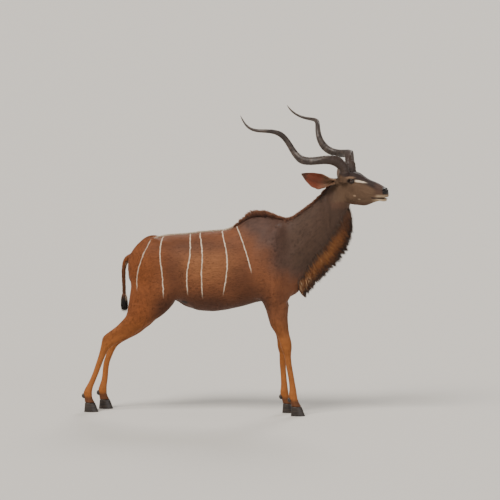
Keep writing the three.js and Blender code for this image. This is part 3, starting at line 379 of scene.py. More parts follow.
FORWARD = np.array([math.cos(HEAD_YAW), math.sin(HEAD_YAW), 0.0])


def side_axis(share):
    """Leftward axis of the neck at a share of its length: it turns and rolls into the head's."""
    end = smooth(share)
    yaw, roll = HEAD_YAW * end, HEAD_ROLL * end
    return np.array([-math.sin(yaw) * math.cos(roll), math.cos(yaw) * math.cos(roll), math.sin(roll)])


LEFT = side_axis(1.0)
UP = np.cross(FORWARD, LEFT)


def head_point(a, b, c):
    """A place in the head's own axes, as millimetres of the body."""
    a, b, c = np.broadcast_arrays(np.asarray(a, float), b, c)
    return HEAD_ORIGIN + a[..., None] * FORWARD + b[..., None] * LEFT + c[..., None] * UP


POLL_TOP = head_point(HEAD[0, 0], 0, HEAD[0, 1])
POLL_LOW = head_point(HEAD[0, 2], 0, HEAD[0, 3])
POLL_SIDE = (POLL_TOP[1] + POLL_LOW[1]) / 2
POLL_ROW = [1.0, POLL_TOP[0], POLL_TOP[2], POLL_LOW[0], POLL_LOW[2], 74, POLL_SIDE]
NECK = np.array(NECK_ROWS + [POLL_ROW])


def neck_spine(share):
    """Nape and throat points of the neck at a share of its length."""
    lift = smooth(clamp01((share - 0.8) / 0.2))
    side = float(curve(NECK, 6, share))
    top = np.array([curve(NECK, 1, share), mix(side, POLL_TOP[1], lift), curve(NECK, 2, share)])
    low = np.array([curve(NECK, 3, share), mix(side, POLL_LOW[1], lift), curve(NECK, 4, share)])
    return top, low


def neck_ring(share, angles, inset=0.0):
    """Points round the neck at a share of its length, one for each angle."""
    top, low = neck_spine(share)
    centre = (top + low) / 2
    up = top - low
    tall = np.linalg.norm(up) / 2
    up = up / (2 * tall)
    left = side_axis(share)
    ahead = unit(np.cross(left, up))
    left = np.cross(up, ahead)
    half = float(curve(NECK, 5, share))
    power = mix(2.0, 2.2, share)
    c, s = np.cos(angles), np.sin(angles)
    r = (np.abs(c / half) ** power + np.abs(s / tall) ** power) ** (-1 / power) - inset
    pinch = 1 - 0.2 * (1 - share) * np.maximum(0, s) * np.abs(c)
    return centre + (r * c * pinch)[:, None] * left + (r * s)[:, None] * up


def head_ring(place, angles, inset=0.0):
    """Points round the head at a place among its rows, one for each angle."""
    rows = np.column_stack([np.arange(len(HEAD)), HEAD])
    top_a, top_c, low_a, low_c, crown, jaw, level = [float(curve(rows, k, place)) for k in range(1, 8)]
    c, s = np.cos(angles), np.sin(angles)
    power = 2.3
    scale = (np.abs(c) ** power + np.abs(s) ** power) ** (-1 / power)
    height = np.where(s > 0, level + (1 - level) * s * scale, level + level * s * scale)
    width = mix(jaw, crown, smooth(clamp01(height / level)))
    tall = math.hypot(top_a - low_a, top_c - low_c)
    shrink = inset / tall
    height = np.clip(height, shrink, 1 - shrink)
    b = c * scale * np.maximum(2.0, width - inset)
    return head_point(low_a + (top_a - low_a) * height, b, low_c + (top_c - low_c) * height)


def spine_rings(count, inset):
    """Rings of points from the rump, along the trunk and up the neck to the nose."""
    angles = np.linspace(0, 2 * math.pi, count, endpoint=False)
    c, s = np.cos(angles), np.sin(angles)
    centres, directions = [], []
    rump = np.array([-350.0, 0.0, 1012.0])
    for tilt in np.radians(np.linspace(3, 87, 26)):
        d = np.column_stack([np.full(count, -math.cos(tilt)), math.sin(tilt) * c, math.sin(tilt) * s])
        centres.append(np.tile(rump, (count, 1)))
        directions.append(d)
    for x in np.arange(-346, 526, 12):
        centres.append(np.tile([x, 0.0, 1012.0], (count, 1)))
        directions.append(np.column_stack([np.zeros(count), c, s]))
    upright = len(centres)
    fan = np.linspace(0.04, 0.97, 22)
    for share in fan:
        top = np.array([mix(532, 600, share), 0, 1380.0])
        low = np.array([mix(532, 697, share), 0, mix(800, 850, share)])
        centres.append(np.tile((top + low) / 2, (count, 1)))
        up = unit(top - low)
        directions.append(c[:, None] * np.array([0.0, 1.0, 0.0]) + s[:, None] * up)
    centre, direction = np.concatenate(centres), np.concatenate(directions)
    r = reach(torso_field, centre, direction, 520).reshape(-1, count)
    base = neck_ring(0.0, angles)
    base_r = np.linalg.norm(base - base.mean(0), axis=1)
    for k, share in enumerate(fan):
        weight = smooth(share) * share
        r[upright + k] = mix(r[upright + k], base_r, weight)
    r = r - inset
    rings = [cen + d * rr[:, None] for cen, d, rr in zip(centres, directions, r)]
    for share in np.linspace(0, 1, 52)[:-1]:
        rings.append(neck_ring(share, angles, inset))
    rings = np.array(rings)
    ease = clamp01(1.4 - np.abs(np.arange(len(rings)) - upright - 21) / 14)[1:-1, None, None]
    for _ in range(26):
        rings[1:-1] += ease * 0.5 * ((rings[:-2] + rings[2:]) / 2 - rings[1:-1])
    rings = list(rings)
    for place in np.linspace(0, len(HEAD) - 1, 110):
        rings.append(head_ring(place, angles, inset * (0.75 if place < 8 else 0.5)))
    return rings


def leg_rings(fore, far, count, inset):
    """Rings of points down one leg, from inside the trunk to the top of the hoof."""
    angles = np.linspace(0, 2 * math.pi, count, endpoint=False)
    heights = np.concatenate([np.arange(830, 660, -10), np.arange(660, 60, -7)])
    rings = []
    for z in heights:
        front, back, half, mid = [float(v) for v in leg_row(fore, far, z)]
        centre = np.array([(front + back) / 2, mid, z])
        d = np.column_stack([np.sin(angles), np.cos(angles), np.zeros(count)])
        deep = (front - back) / 2
        r = (np.abs(d[:, 0] / deep) ** 2.3 + np.abs(d[:, 1] / half) ** 2.3) ** (-1 / 2.3)
        if z > 640:
            cast = reach(flesh, np.tile(centre, (count, 1)), d, 200)
            r = np.minimum(cast, r * 1.25) if z < 770 else r * (0.97 - 0.3 * (z - 770) / 60)
        rings.append(centre + d * (r - inset)[:, None])
    return rings


def to_frame(points):
    """Millimetres of the body as metres of the frame."""
    return (np.asarray(points) - FRAME_SHIFT) * MM


def collection():
    return bpy.context.scene.collection


def new_object(name, mesh):
    """A new object of the mesh, linked to the scene."""
    obj = bpy.data.objects.new(name, mesh)
    collection().objects.link(obj)
    return obj


def shade_smooth(mesh):
    mesh.polygons.foreach_set("use_smooth", [True] * len(mesh.polygons))


def loft_mesh(name, rings, caps=True):
    """A grid wrapped over a row of rings, its seam welded and its ends filled."""
    rings = np.asarray(rings)
    rows, count = rings.shape[:2]
    bm = bmesh.new()
    bmesh.ops.create_grid(bm, x_segments=rows - 1, y_segments=count, size=1.0)
    mesh = bpy.data.meshes.new(name)
    bm.to_mesh(mesh)
    flat = np.empty(len(mesh.vertices) * 3)
    mesh.vertices.foreach_get("co", flat)
    flat = flat.reshape(-1, 3)
    i = np.rint((flat[:, 0] + 1) / 2 * (rows - 1)).astype(int)
    j = np.rint((flat[:, 1] + 1) / 2 * count).astype(int) % count
    mesh.vertices.foreach_set("co", to_frame(rings[i, j]).ravel())
    bm.clear()
    bm.from_mesh(mesh)
    bmesh.ops.remove_doubles(bm, verts=bm.verts, dist=1e-6)
    if caps:
        edges = [e for e in bm.edges if e.is_boundary]
        bmesh.ops.holes_fill(bm, edges=edges, sides=0)
    bmesh.ops.recalc_face_normals(bm, faces=bm.faces)
    bm.to_mesh(mesh)
    bm.free()
    shade_smooth(mesh)
    return mesh


def catmull(points, samples):
    """Points on a smooth curve through the given ones."""
    p = np.asarray(points, float)
    p = np.vstack([2 * p[0] - p[1], p, 2 * p[-1] - p[-2]])
    out = []
    n = len(p) - 3
    for u in np.linspace(0, n, samples):
        i = min(int(u), n - 1)
        t = u - i
        a, b, c, d = p[i], p[i + 1], p[i + 2], p[i + 3]
        bent = (2 * a - 5 * b + 4 * c - d) * t**2
        out.append(0.5 * (2 * b + (c - a) * t + bent + (3 * b - a - 3 * c + d) * t**3))
    return np.array(out)


def tube_rings(points, radii, sides, samples, flat=1.0, normal=(0.13, 0.9, 0.21)):
    """Rings of a tube along a smooth path, its radii spread evenly over it."""
    path = catmull(points, samples)
    tangent = unit(np.gradient(path, axis=0))
    share = np.linspace(0, len(radii) - 1, samples)
    radius = np.interp(share, np.arange(len(radii)), radii)
    normal = np.array(normal, float)
    angles = np.linspace(0, 2 * math.pi, sides, endpoint=False)
    rings = []
    for p, t, r in zip(path, tangent, radius):
        normal = unit(normal - t * (normal @ t))
        other = np.cross(t, normal)
        ring = p + (np.cos(angles) * r * flat)[:, None] * normal + (np.sin(angles) * r)[:, None] * other
        rings.append(ring)
    return rings


HEAD_MATRIX = Matrix([
    [FORWARD[0], LEFT[0], UP[0], 0],
    [FORWARD[1], LEFT[1], UP[1], 0],
    [FORWARD[2], LEFT[2], UP[2], 0],
    [0, 0, 0, 1],
])


def head_matrix():
    """Turn and place of the head's own axes in the frame."""
    m = HEAD_MATRIX.copy()
    m.translation = Vector(to_frame(HEAD_ORIGIN))
    return m


def egg_mesh(name, centre, radii, yaw=0.0, pitch=0.0, u=32, v=20):
    """An ellipsoid placed in the head's own axes."""
    bm = bmesh.new()
    bmesh.ops.create_uvsphere(bm, u_segments=u, v_segments=v, radius=1.0)
    turned = Matrix.Rotation(yaw, 4, "Z") @ Matrix.Rotation(pitch, 4, "Y")
    shape = turned @ Matrix.Diagonal((*[r * MM for r in radii], 1))
    placed = head_matrix() @ Matrix.Translation(Vector(centre) * MM) @ shape
    bmesh.ops.transform(bm, matrix=placed, verts=bm.verts)
    mesh = bpy.data.meshes.new(name)
    bm.to_mesh(mesh)
    bm.free()
    return mesh


def join_meshes(name, meshes):
    bm = bmesh.new()
    for mesh in meshes:
        bm.from_mesh(mesh)
    mesh = bpy.data.meshes.new(name)
    bm.to_mesh(mesh)
    bm.free()
    return mesh


def baked(obj):
    """The object's mesh with its modifiers applied."""
    graph = bpy.context.evaluated_depsgraph_get()
    mesh = bpy.data.meshes.new_from_object(obj.evaluated_get(graph))
    old = obj.data
    obj.modifiers.clear()
    obj.data = mesh
    bpy.data.meshes.remove(old)
    return mesh


def positions(mesh):
    """Places of a mesh's points, one row each."""
    flat = np.empty(len(mesh.vertices) * 3)
    mesh.vertices.foreach_get("co", flat)
    return flat.reshape(-1, 3)


def head_local(points):
    """Forward, left and up of points given in the frame, in millimetres of the head's own axes."""
    d = points / MM + FRAME_SHIFT - HEAD_ORIGIN
    return d @ FORWARD, d @ LEFT, d @ UP


def mouth_wedge():
    """The wedge that cuts the mouth open, from between the cheeks to past the nose."""
    wedge = bmesh.new()
    bmesh.ops.create_grid(wedge, x_segments=1, y_segments=2, size=1.0)
    profile = {(-1, -1): (150, -171.5), (-1, 0): (150, -172), (-1, 1): (150, -172.5)}
    profile.update({(1, -1): (300, -164), (1, 0): (300, -171), (1, 1): (300, -178)})
    for v in wedge.verts:
        a, c = profile[(round(v.co.x), round(v.co.y))]
        v.co = Vector((a, -70, c))
    made = bmesh.ops.extrude_face_region(wedge, geom=wedge.faces[:])
    moved = [g for g in made["geom"] if isinstance(g, bmesh.types.BMVert)]
    bmesh.ops.translate(wedge, verts=moved, vec=(0, 140, 0))
    bmesh.ops.transform(wedge, matrix=head_matrix() @ Matrix.Scale(MM, 4), verts=wedge.verts)
    bmesh.ops.recalc_face_normals(wedge, faces=wedge.faces)
    cutter = bpy.data.meshes.new("mouth")
    wedge.to_mesh(cutter)
    wedge.free()
    return new_object("mouth", cutter)


def head_lumps(side):
    """Flesh that stands out on one side of the head, and the seats of its horn and ear."""
    lumps = [
        egg_mesh("brow", (-2, 54 * side, -37), (35, 18, 12), 0, 0.1),
        egg_mesh("cheek", (-22, 41 * side, -150), (60, 22, 54), 0, 0.25),
        egg_mesh("wing", (233, 18 * side, -116), (20, 15.5, 15.5), -0.3 * side, 0.35),
        egg_mesh("muzzle", (228, 20 * side, -146), (24, 15, 17), -0.25 * side, 0.2),
        egg_mesh("orbit", (4, 52 * side, -58), (30, 19, 25)),
    ]
    around = np.linspace(0, 6.283, 32, False)
    ahead, beside = HORN_SEAT
    boss = [
        head_point(ahead + np.cos(around) * r, beside * side + np.sin(around) * r * 0.92, k)
        for k, r in ((-70, 50), (-45, 49), (-25, 46), (-10, 41), (0, 36), (5, 33))
    ]
    lumps.append(loft_mesh("boss", boss))
    root, axis, _, _ = ear_frame(side)
    stub = [root + axis * s for s in (-60, -20, 8, 22)]
    lumps.append(loft_mesh("stub", tube_rings(stub, [30, 27, 22, 17], 28, 20)))
    return lumps


def build_skin(voxel):
    """One closed skin over all the flesh, grown together on a fine grid."""
    parts = []
    body = new_object("skin", loft_mesh("spine", spine_rings(120, COAT_INSET)))
    tool = mouth_wedge()
    cut = body.modifiers.new("mouth", "BOOLEAN")
    cut.operation, cut.object, cut.solver = "DIFFERENCE", tool, "EXACT"
    parts.append(baked(body))
    bpy.data.objects.remove(tool)
    for fore in (True, False):
        for far in (True, False):
            parts.append(loft_mesh("leg", leg_rings(fore, far, 44, COAT_INSET * 0.6)))
    for side in (-1, 1):
        parts += head_lumps(side)
    for lip, sizes in ((UPPER_LIP, 7.0), (LOWER_LIP, 6.0)):
        half = [head_point(a, b, c) for a, b, c in lip]
        other = [head_point(a, -b, c) for a, b, c in lip[:-1]][::-1]
        shape = [2.5, sizes - 1, sizes, sizes + 0.6, sizes, sizes - 1, 2.5]
        parts.append(loft_mesh("lip", tube_rings(half + other, shape, 16, 60)))
    tail = [(x, 0, z) for x, z in TAIL_PATH]
    parts.append(loft_mesh("dock", tube_rings(tail, [r - 2 for r in TAIL_RADII], 24, 70, 1.2)))
    body.data = join_meshes("skin", parts)
    remesh = body.modifiers.new("whole", "REMESH")
    remesh.mode, remesh.voxel_size, remesh.adaptivity = "VOXEL", voxel, 0.0
    relax = body.modifiers.new("relax", "SMOOTH")
    relax.factor, relax.iterations = 0.5, 5
    mesh = baked(body)
    mesh.name = "skin"
    sculpt_head(mesh)
    return body


def sculpt_head(mesh):
    """Sockets, nostrils, tear line, jaw line and folds pressed into the skin."""
    co = positions(mesh)
    a, b, c = head_local(co)
    near = (a > -140) & (c > -270) & (np.abs(b) < 110) & (a < 300)
    move = np.zeros_like(co)
    ea, _, ec = EYE_AT
    for side in (-1, 1):
        d = np.hypot((a - ea) / 20.0, (c - ec) / 12.5)
        press = np.clip(1.15 - d, 0, 1) ** 0.8
        mask = near & (b * side > 30)
        move[mask] -= np.outer((press * 17)[mask], side * LEFT)
        ring = np.exp(-((d - 1.45) / 0.28) ** 2)
        move[mask] += np.outer((ring * 1.6)[mask], side * LEFT)
        below = np.exp(-(((a - ea - 30) / 20) ** 2 + ((c - ec + 16) / 9) ** 2))
        move[mask] -= np.outer((below * 3.5)[mask], side * LEFT)
        n = np.hypot((a - 245 + (b * side - 24) * 0.4) / 11.0, (c + 113 - (a - 245) * 0.35) / 5.5)
        hole = near & (b * side > 8) & (a > 220)
        inward = unit(-0.45 * FORWARD - side * 0.9 * LEFT)
        move[hole] += np.outer((np.clip(1.1 - n, 0, 1) * 12)[hole], inward)
        jaw = np.exp(-((c + 196 - (a - 20) * 0.12) / 9) ** 2)
        jaw = jaw * clamp01((a + 10) / 40) * clamp01((150 - a) / 40)
        move[mask] -= np.outer((jaw * 2.2)[mask], side * LEFT)
        temple = np.exp(-(((a + 75) / 26) ** 2 + ((c + 70) / 22) ** 2))
        move[mask] -= np.outer((temple * 3.5)[mask], side * LEFT)
        vein = np.exp(-((c + 130 + (a - 80) * 0.25) / 7) ** 2)
        vein = vein * clamp01((a - 40) / 30) * clamp01((170 - a) / 40)
        move[mask] += np.outer((vein * 1.4)[mask], side * LEFT)
    co = co + move * MM
    mesh.vertices.foreach_set("co", co.ravel())
    mesh.update()


def thin_skin(obj, target):
    """Fewer faces on the body, all of them kept on the head and feet."""
    mesh = obj.data
    co = positions(mesh)
    a, _, _ = head_local(co)
    keep = ((a > -120) & (co[:, 2] > 1.44)) | (co[:, 2] < 0.2)
    group = obj.vertex_groups.new(name="body")
    group.add(np.nonzero(~keep)[0].tolist(), 1.0, "REPLACE")
    group.add(np.nonzero(keep)[0].tolist(), 0.12, "REPLACE")
    thin = obj.modifiers.new("thin", "DECIMATE")
    thin.vertex_group, thin.vertex_group_factor = "body", 1.0
    thin.ratio = min(1.0, target / (2 * len(mesh.polygons)))
    baked(obj)
    shade_smooth(obj.data)
    obj.vertex_groups.clear()


def ear_frame(side):
    """Root of one ear, its long axis, the way it opens and the way across."""
    root = head_point(EAR_ROOT[0], EAR_ROOT[1] * side, EAR_ROOT[2])
    axis = unit(-0.6 * FORWARD + 0.74 * side * LEFT + 0.27 * UP)
    opened = 0.76 * FORWARD + 0.62 * side * LEFT - 0.06 * UP
    opened = unit(opened - axis * (opened @ axis))
    return root, axis, opened, np.cross(axis, opened)


def ear_bend(side, t):
    """How far the leaf of the ear hangs below its axis."""
    _, axis, _, _ = ear_frame(side)
    down = unit(-UP + axis * (axis @ UP))
    return down * (EAR_SAG * np.sin(np.pi * np.asarray(t, float)))[..., None]


def build_ear(side):
    """One ear: a curled leaf with ridges in its cup."""
    root, axis, opened, wide = ear_frame(side)
    rings = []
    for t in np.linspace(0, 1, 60):
        half, curl, back = [float(curve(EAR_ROWS, k, t)) for k in (1, 2, 3)]
        curl = math.radians(curl)
        radius = half / (math.sin(curl) if curl < math.pi / 2 else 1.0)
        thick = min(4.0, half * 0.5)
        centre = root + axis * (6 + t * EAR_LENGTH) + opened * (radius + back) + ear_bend(side, t)
        outer = np.linspace(-curl, curl, 41)
        inner = np.linspace(curl, -curl, 41)[1:-1] * 0.97
        rim = 1.0 + 0.02 * np.sin(outer * 9 + t * 20)
        ring = [
            centre + wide * radius * rim[k] * math.sin(w) - opened * radius * rim[k] * math.cos(w)
            for k, w in enumerate(outer)
        ]
        r = radius - thick
        ridge = [1.3 * math.sin(w * 7) * (1 - abs(w) / curl) for w in inner]
        ring += [
            centre + wide * (r - g) * math.sin(w) - opened * (r - g) * math.cos(w)
            for w, g in zip(inner, ridge)
        ]
        rings.append(ring)
    name = "ear_fur_" + side_name(side)
    obj = new_object(name, loft_mesh(name, rings))
    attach(obj, "root")
    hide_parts("ear_left" if side > 0 else "ear_right")
    return obj


def horn_path(side, samples):
    """Spiral line of one horn in the head's axes, and the way its keel faces."""
    axis = unit([-1, HORN_SPREAD * side, HORN_RISE])
    up = unit(np.array([0, 0, 1.0]) - axis * axis[2])
    out = np.cross(axis, up) * side
    s = np.linspace(0.085, 1, 41)
    radius = HORN_HELIX * (1 - np.exp(-s / 0.07)) * (1 - 0.036 * s)
    phase = HORN_PHASE + 2 * math.pi * HORN_TURNS * s
    radial = np.cos(phase)[:, None] * up + np.sin(phase)[:, None] * out
    p = (s * HORN_AXIS)[:, None] * axis + radial * radius[:, None]
    p += (s * (1 - s))[:, None] * (HORN_BOW_UP * up + HORN_BOW_OUT * out)
    p[:, 1] += 42 * side
    p = np.vstack([[HORN_SEAT[0], HORN_SEAT[1] * side, -32], [-58, 47 * side, 8], p])
    radial = np.vstack([radial[:1], radial[:1], radial])
    fine = catmull(p, 1200)
    length = np.concatenate([[0], np.cumsum(np.linalg.norm(np.diff(fine, axis=0), axis=1))])
    even = np.linspace(0, length[-1], samples)
    path = np.column_stack([np.interp(even, length, fine[:, k]) for k in range(3)])
    u = np.interp(even, length, np.linspace(0, len(p) - 1, 1200))
    turn = np.column_stack([np.interp(u, np.arange(len(radial)), radial[:, k]) for k in range(3)])
    return path, turn


def build_horn(side):
    """One horn: a keeled, rippled spiral that thins to its tip."""
    samples, sides = 420, 56
    path, radial = horn_path(side, samples)
    tangent = unit(np.gradient(path, axis=0))
    share = np.linspace(0, 1, samples)
    rounded = np.where(share > 0.97, mix(1, 0.35, (share - 0.97) / 0.03), 1.0)
    thick = mix(HORN_BASE, HORN_TIP, share**1.25) * rounded
    angles = np.linspace(0, 2 * math.pi, sides, endpoint=False)
    signed = np.where(angles > math.pi, angles - 2 * math.pi, angles)
    rng = np.random.default_rng(RNG_SEED + side)
    rings = []
    wave = np.cumsum(rng.uniform(0.7, 1.3, samples)) * 0.62
    for k in range(samples):
        n = unit(radial[k] - tangent[k] * (radial[k] @ tangent[k]))
        o = np.cross(tangent[k], n)
        fade = max(0.0, 1 - share[k] / 0.72)
        ripple = 1 + 0.02 * fade * math.sin(wave[k]) + 0.012 * fade * math.sin(wave[k] * 2.3 + 1)
        keel = 1 + 0.2 * np.exp(-((signed / 0.42) ** 2)) * (1 - share[k])
        grain = 1 + 0.008 * np.sin(angles * 9 + share[k] * 14) + 0.005 * np.sin(angles * 17 - share[k] * 22)
        r = thick[k] * keel * ripple * grain
        ring = path[k] + (np.cos(angles) * r)[:, None] * n + (np.sin(angles) * r * 0.92)[:, None] * o
        rings.append(head_point(ring[:, 0], ring[:, 1], ring[:, 2]))
    name = "horn_shell_" + side_name(side)
    obj = new_object(name, loft_mesh(name, rings))
    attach(obj, "root")
    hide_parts("horn_left" if side > 0 else "horn_right")
    return obj


LEGS = [
    # name, whether a foreleg, whether on the far side
    ("fore_right", True, False),
    ("fore_left", True, True),
    ("hind_right", False, False),
    ("hind_left", False, True),
]


def build_hooves(name, fore, far):
    """Both claws and both dewclaws of one foot."""
    front0, back0, half0, mid = [float(v) for v in leg_row(fore, far, 64.0)]
    meshes = []
    nodes = []
    for claw in (-1, 1):
        rings = []
        for k in np.linspace(0, 1, 22):
            z = 63.7 * (1 - k)
            front = front0 - 3 + 25 * k ** 0.9
            back = back0 + 4 - 5 * k
            outer = half0 - 1 + 4 * k
            angle = np.linspace(0, 2 * math.pi, 40, endpoint=False)
            length01 = (np.sin(angle) + 1) / 2
            across = (np.cos(angle) + 1) / 2
            taper = 1 - 0.42 * np.maximum(0, np.sin(angle)) ** 2
            ripple = 0.5 * math.sin(k * 34) * (0.2 + 0.8 * length01) * (0 if k > 0.97 else 1)
            width = 1.5 + (outer - 1.5) * across * taper
            x = mix(back, front, length01) + ripple * np.sin(angle)
            rings.append(np.column_stack([x, mid + claw * width, np.full(40, z)]))
        meshes.append(loft_mesh("claw", rings))
        nodes += [f"{name}_hoof_inner", f"{name}_hoof_outer"] if claw < 0 else []
        high = leg_row(fore, far, 118.0)
        bm = bmesh.new()
        bmesh.ops.create_uvsphere(bm, u_segments=24, v_segments=16, radius=1.0)
        at = to_frame(np.array([float(high[1]) + 4, mid + claw * 15, 112]))
        placed = Matrix.Translation(Vector(at)) @ Matrix.Rotation(-0.3, 4, "Y")
        shape = placed @ Matrix.Diagonal((12 * MM, 9 * MM, 16.5 * MM, 1))
        bmesh.ops.transform(bm, matrix=shape, verts=bm.verts)
        dew = bpy.data.meshes.new("dew")
        bm.to_mesh(dew)
        bm.free()
        shade_smooth(dew)
        meshes.append(dew)
    obj = new_object(f"{name}_hooves", join_meshes(f"{name}_hooves", meshes))
    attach(obj, "root")
    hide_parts(*nodes, f"{name}_dewclaw_inner", f"{name}_dewclaw_outer")
    return obj


def build_eye(side):
    name = "eye_ball_" + side_name(side)
    mesh = egg_mesh(name, (EYE_AT[0], EYE_AT[1] * side, EYE_AT[2]), (EYE_RADIUS - 0.6,) * 3, 0, 0, 64, 40)
    shade_smooth(mesh)
    obj = new_object(name, mesh)
    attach(obj, "root")
    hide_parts("eye_left" if side > 0 else "eye_right")
    return obj


def build_lids(side):
    """Almond lid margins round the eye, thick and soft, with the upper one hooded."""
    name = "lids_" + side_name(side)
    ea, eb, ec = EYE_AT
    angles = np.linspace(0, 2 * math.pi, 96, endpoint=False)
    profile = np.linspace(0, 2 * math.pi, 14, endpoint=False)
    rings = []
    for w in angles:
        ca, sa = math.cos(w), math.sin(w)
        open_a = 17.5 * math.copysign(abs(ca) ** 0.9, ca)
        open_c = (9.6 if sa > 0 else 8.2) * sa + open_a * 0.1
        lip = 2.7 + 1.1 * max(0, sa)
        ring = []
        for q in profile:
            grow = lip * math.cos(q)
            da, dc = open_a + ca * (grow + lip * 0.75), open_c + sa * (grow + lip * 0.75)
            ball = math.sqrt(max(0.0, (EYE_RADIUS + 0.4) ** 2 - da * da - dc * dc))
            ring.append(head_point(ea + da, side * (eb + ball + lip * 0.75 * math.sin(q)), ec + dc))
        rings.append(ring)
    rings.append(rings[0])
    mesh = loft_mesh(name, rings, caps=False)
    obj = new_object(name, mesh)
    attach(obj, "root")
    return obj


def unit_tuft(rows, power, flat=False):
    """One closed, tapered, three-sided tuft: (share, across, out) of its points, and its faces."""
    rings = []
    turn = math.pi if flat else 0.0
    for s in np.linspace(0, 1, rows + 1):
        r = (1 - s) ** power
        corners = [turn + math.pi * k / 6 for k in (3, 7, 11)]
        rings.append([[s, r * math.cos(w), r * math.sin(w)] for w in corners])
    mesh = loft_mesh("tuft", np.array(rings) * 1000)
    points = (positions(mesh) / MM + FRAME_SHIFT) / 1000
    faces = [tuple(p.vertices) for p in mesh.polygons]
    bpy.data.meshes.remove(mesh)
    return points, faces


def tuft_mesh(name, root, bend, tip, across, width, thick, shade, unwrap, form, facing=None):
    """Many tufts in one mesh: each bows from its root past a bend to its tip."""
    points, faces = form
    n, m = len(root), len(points)
    s = points[:, 0][None, :, None]
    line = (1 - s) ** 2 * root[:, None] + 2 * s * (1 - s) * bend[:, None] + s**2 * tip[:, None]
    run = unit(2 * (1 - s) * (bend - root)[:, None] + 2 * s * (tip - bend)[:, None])
    wide = unit(across[:, None] - run * np.sum(across[:, None] * run, axis=2, keepdims=True))
    high = np.cross(run, wide)
    line = line + wide * (points[:, 1][None] * width[:, None])[..., None]
    line = line + high * (points[:, 2][None] * thick[:, None])[..., None]
    loops = np.concatenate([np.array(f) for f in faces])
    sizes = np.array([len(f) for f in faces])
    starts = np.concatenate([[0], np.cumsum(sizes)[:-1]])
    mesh = bpy.data.meshes.new(name)
    mesh.vertices.add(n * m)
    mesh.vertices.foreach_set("co", to_frame(line.reshape(-1, 3)).ravel())
    mesh.loops.add(n * len(loops))
    every = (loops[None] + (np.arange(n) * m)[:, None]).ravel()
    mesh.loops.foreach_set("vertex_index", every)
    mesh.polygons.add(n * len(faces))
    mesh.polygons.foreach_set("loop_start", (starts[None] + (np.arange(n) * len(loops))[:, None]).ravel())
    mesh.update(calc_edges=True)
    patch = np.column_stack([points[:, 0] - 0.5, points[:, 1] * 0.5]) * 0.003
    uv = (unwrap[:, None] + patch[None]).reshape(-1, 2)[every]
    mesh.uv_layers.new(name="OFBake").data.foreach_set("uv", uv.ravel())
    mesh.attributes.new("shade", "FLOAT", "POINT").data.foreach_set("value", np.repeat(shade, m))
    mesh.attributes.new("tip", "FLOAT", "POINT").data.foreach_set("value", np.tile(points[:, 0], n))
    if facing is not None:
        faced = mesh.attributes.new("facing", "FLOAT_VECTOR", "POINT")
        faced.data.foreach_set("vector", np.repeat(facing, m, axis=0).ravel())
    shade_smooth(mesh)
    obj = new_object(name, mesh)
    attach(obj, "root")
    return obj


class Unwrap:
    """Places on the skin unrolled: along the body and round it, the legs beside."""

    def __init__(self):
        rings = [np.array(spine_rings(60, COAT_INSET))]
        rings += [np.array(leg_rings(fore, far, 24, 2.0)) for _, fore, far in LEGS]
        places, flats, flows = [], [], []
        for k, ring in enumerate(rings):
            rows, count = ring.shape[:2]
            middle = ring.mean(axis=1)
            length = np.cumsum(np.linalg.norm(np.diff(middle, axis=0, prepend=middle[:1]), axis=1))
            ahead = unit(np.gradient(middle, axis=0))
            flow = ring - middle[:, None]
            flow = flow - ahead[:, None] * np.sum(flow * ahead[:, None], axis=2, keepdims=True)
            flow = flow + ahead[:, None] * (length * FLOW_STRETCH)[:, None, None]
            flows.append(flow.reshape(-1, 3))
            u = np.repeat(np.linspace(0.02, 0.98, rows), count)
            v = np.tile(np.linspace(0, 1, count), rows)
            v = 0.02 + 0.56 * v if k == 0 else 0.6 + 0.1 * (k - 1) + 0.08 * v
            places.append(ring.reshape(-1, 3))
            flats.append(np.column_stack([u, v]))
        self.flat = np.concatenate(flats)
        self.flow = np.concatenate(flows)
        places = np.concatenate(places)
        self.tree = KDTree(len(places))
        for i, p in enumerate(places):
            self.tree.insert(p, i)
        self.tree.balance()

    def __call__(self, points):
        """Unrolled places of points near the skin."""
        return self.flat[[self.tree.find(p)[1] for p in points]]

    def streaks(self, mesh):
        """Coordinates drawn out along the lie of the coat, for the streaks of the hair."""
        points = positions(mesh) / MM + FRAME_SHIFT
        near = [self.tree.find_n(p, 3) for p in points]
        pick = np.array([[hit[1] for hit in hits] for hits in near])
        gap = np.array([[hit[2] for hit in hits] for hits in near]) + 0.5
        share = (1 / gap) / (1 / gap).sum(axis=1, keepdims=True)
        flow = np.sum(self.flow[pick] * share[..., None], axis=1) * MM
        ends = np.empty(len(mesh.edges) * 2, np.int32)
        mesh.edges.foreach_get("vertices", ends)
        one, two = ends[::2], ends[1::2]
        beside = np.bincount(ends, minlength=len(flow))
        for _ in range(40):
            total = [
                np.bincount(one, flow[two, k], len(flow)) + np.bincount(two, flow[one, k], len(flow))
                for k in range(3)
            ]
            flow = np.column_stack(total) / np.maximum(1, beside)[:, None]
        mesh.attributes.new("flow", "FLOAT_VECTOR", "POINT").data.foreach_set("vector", flow.ravel())


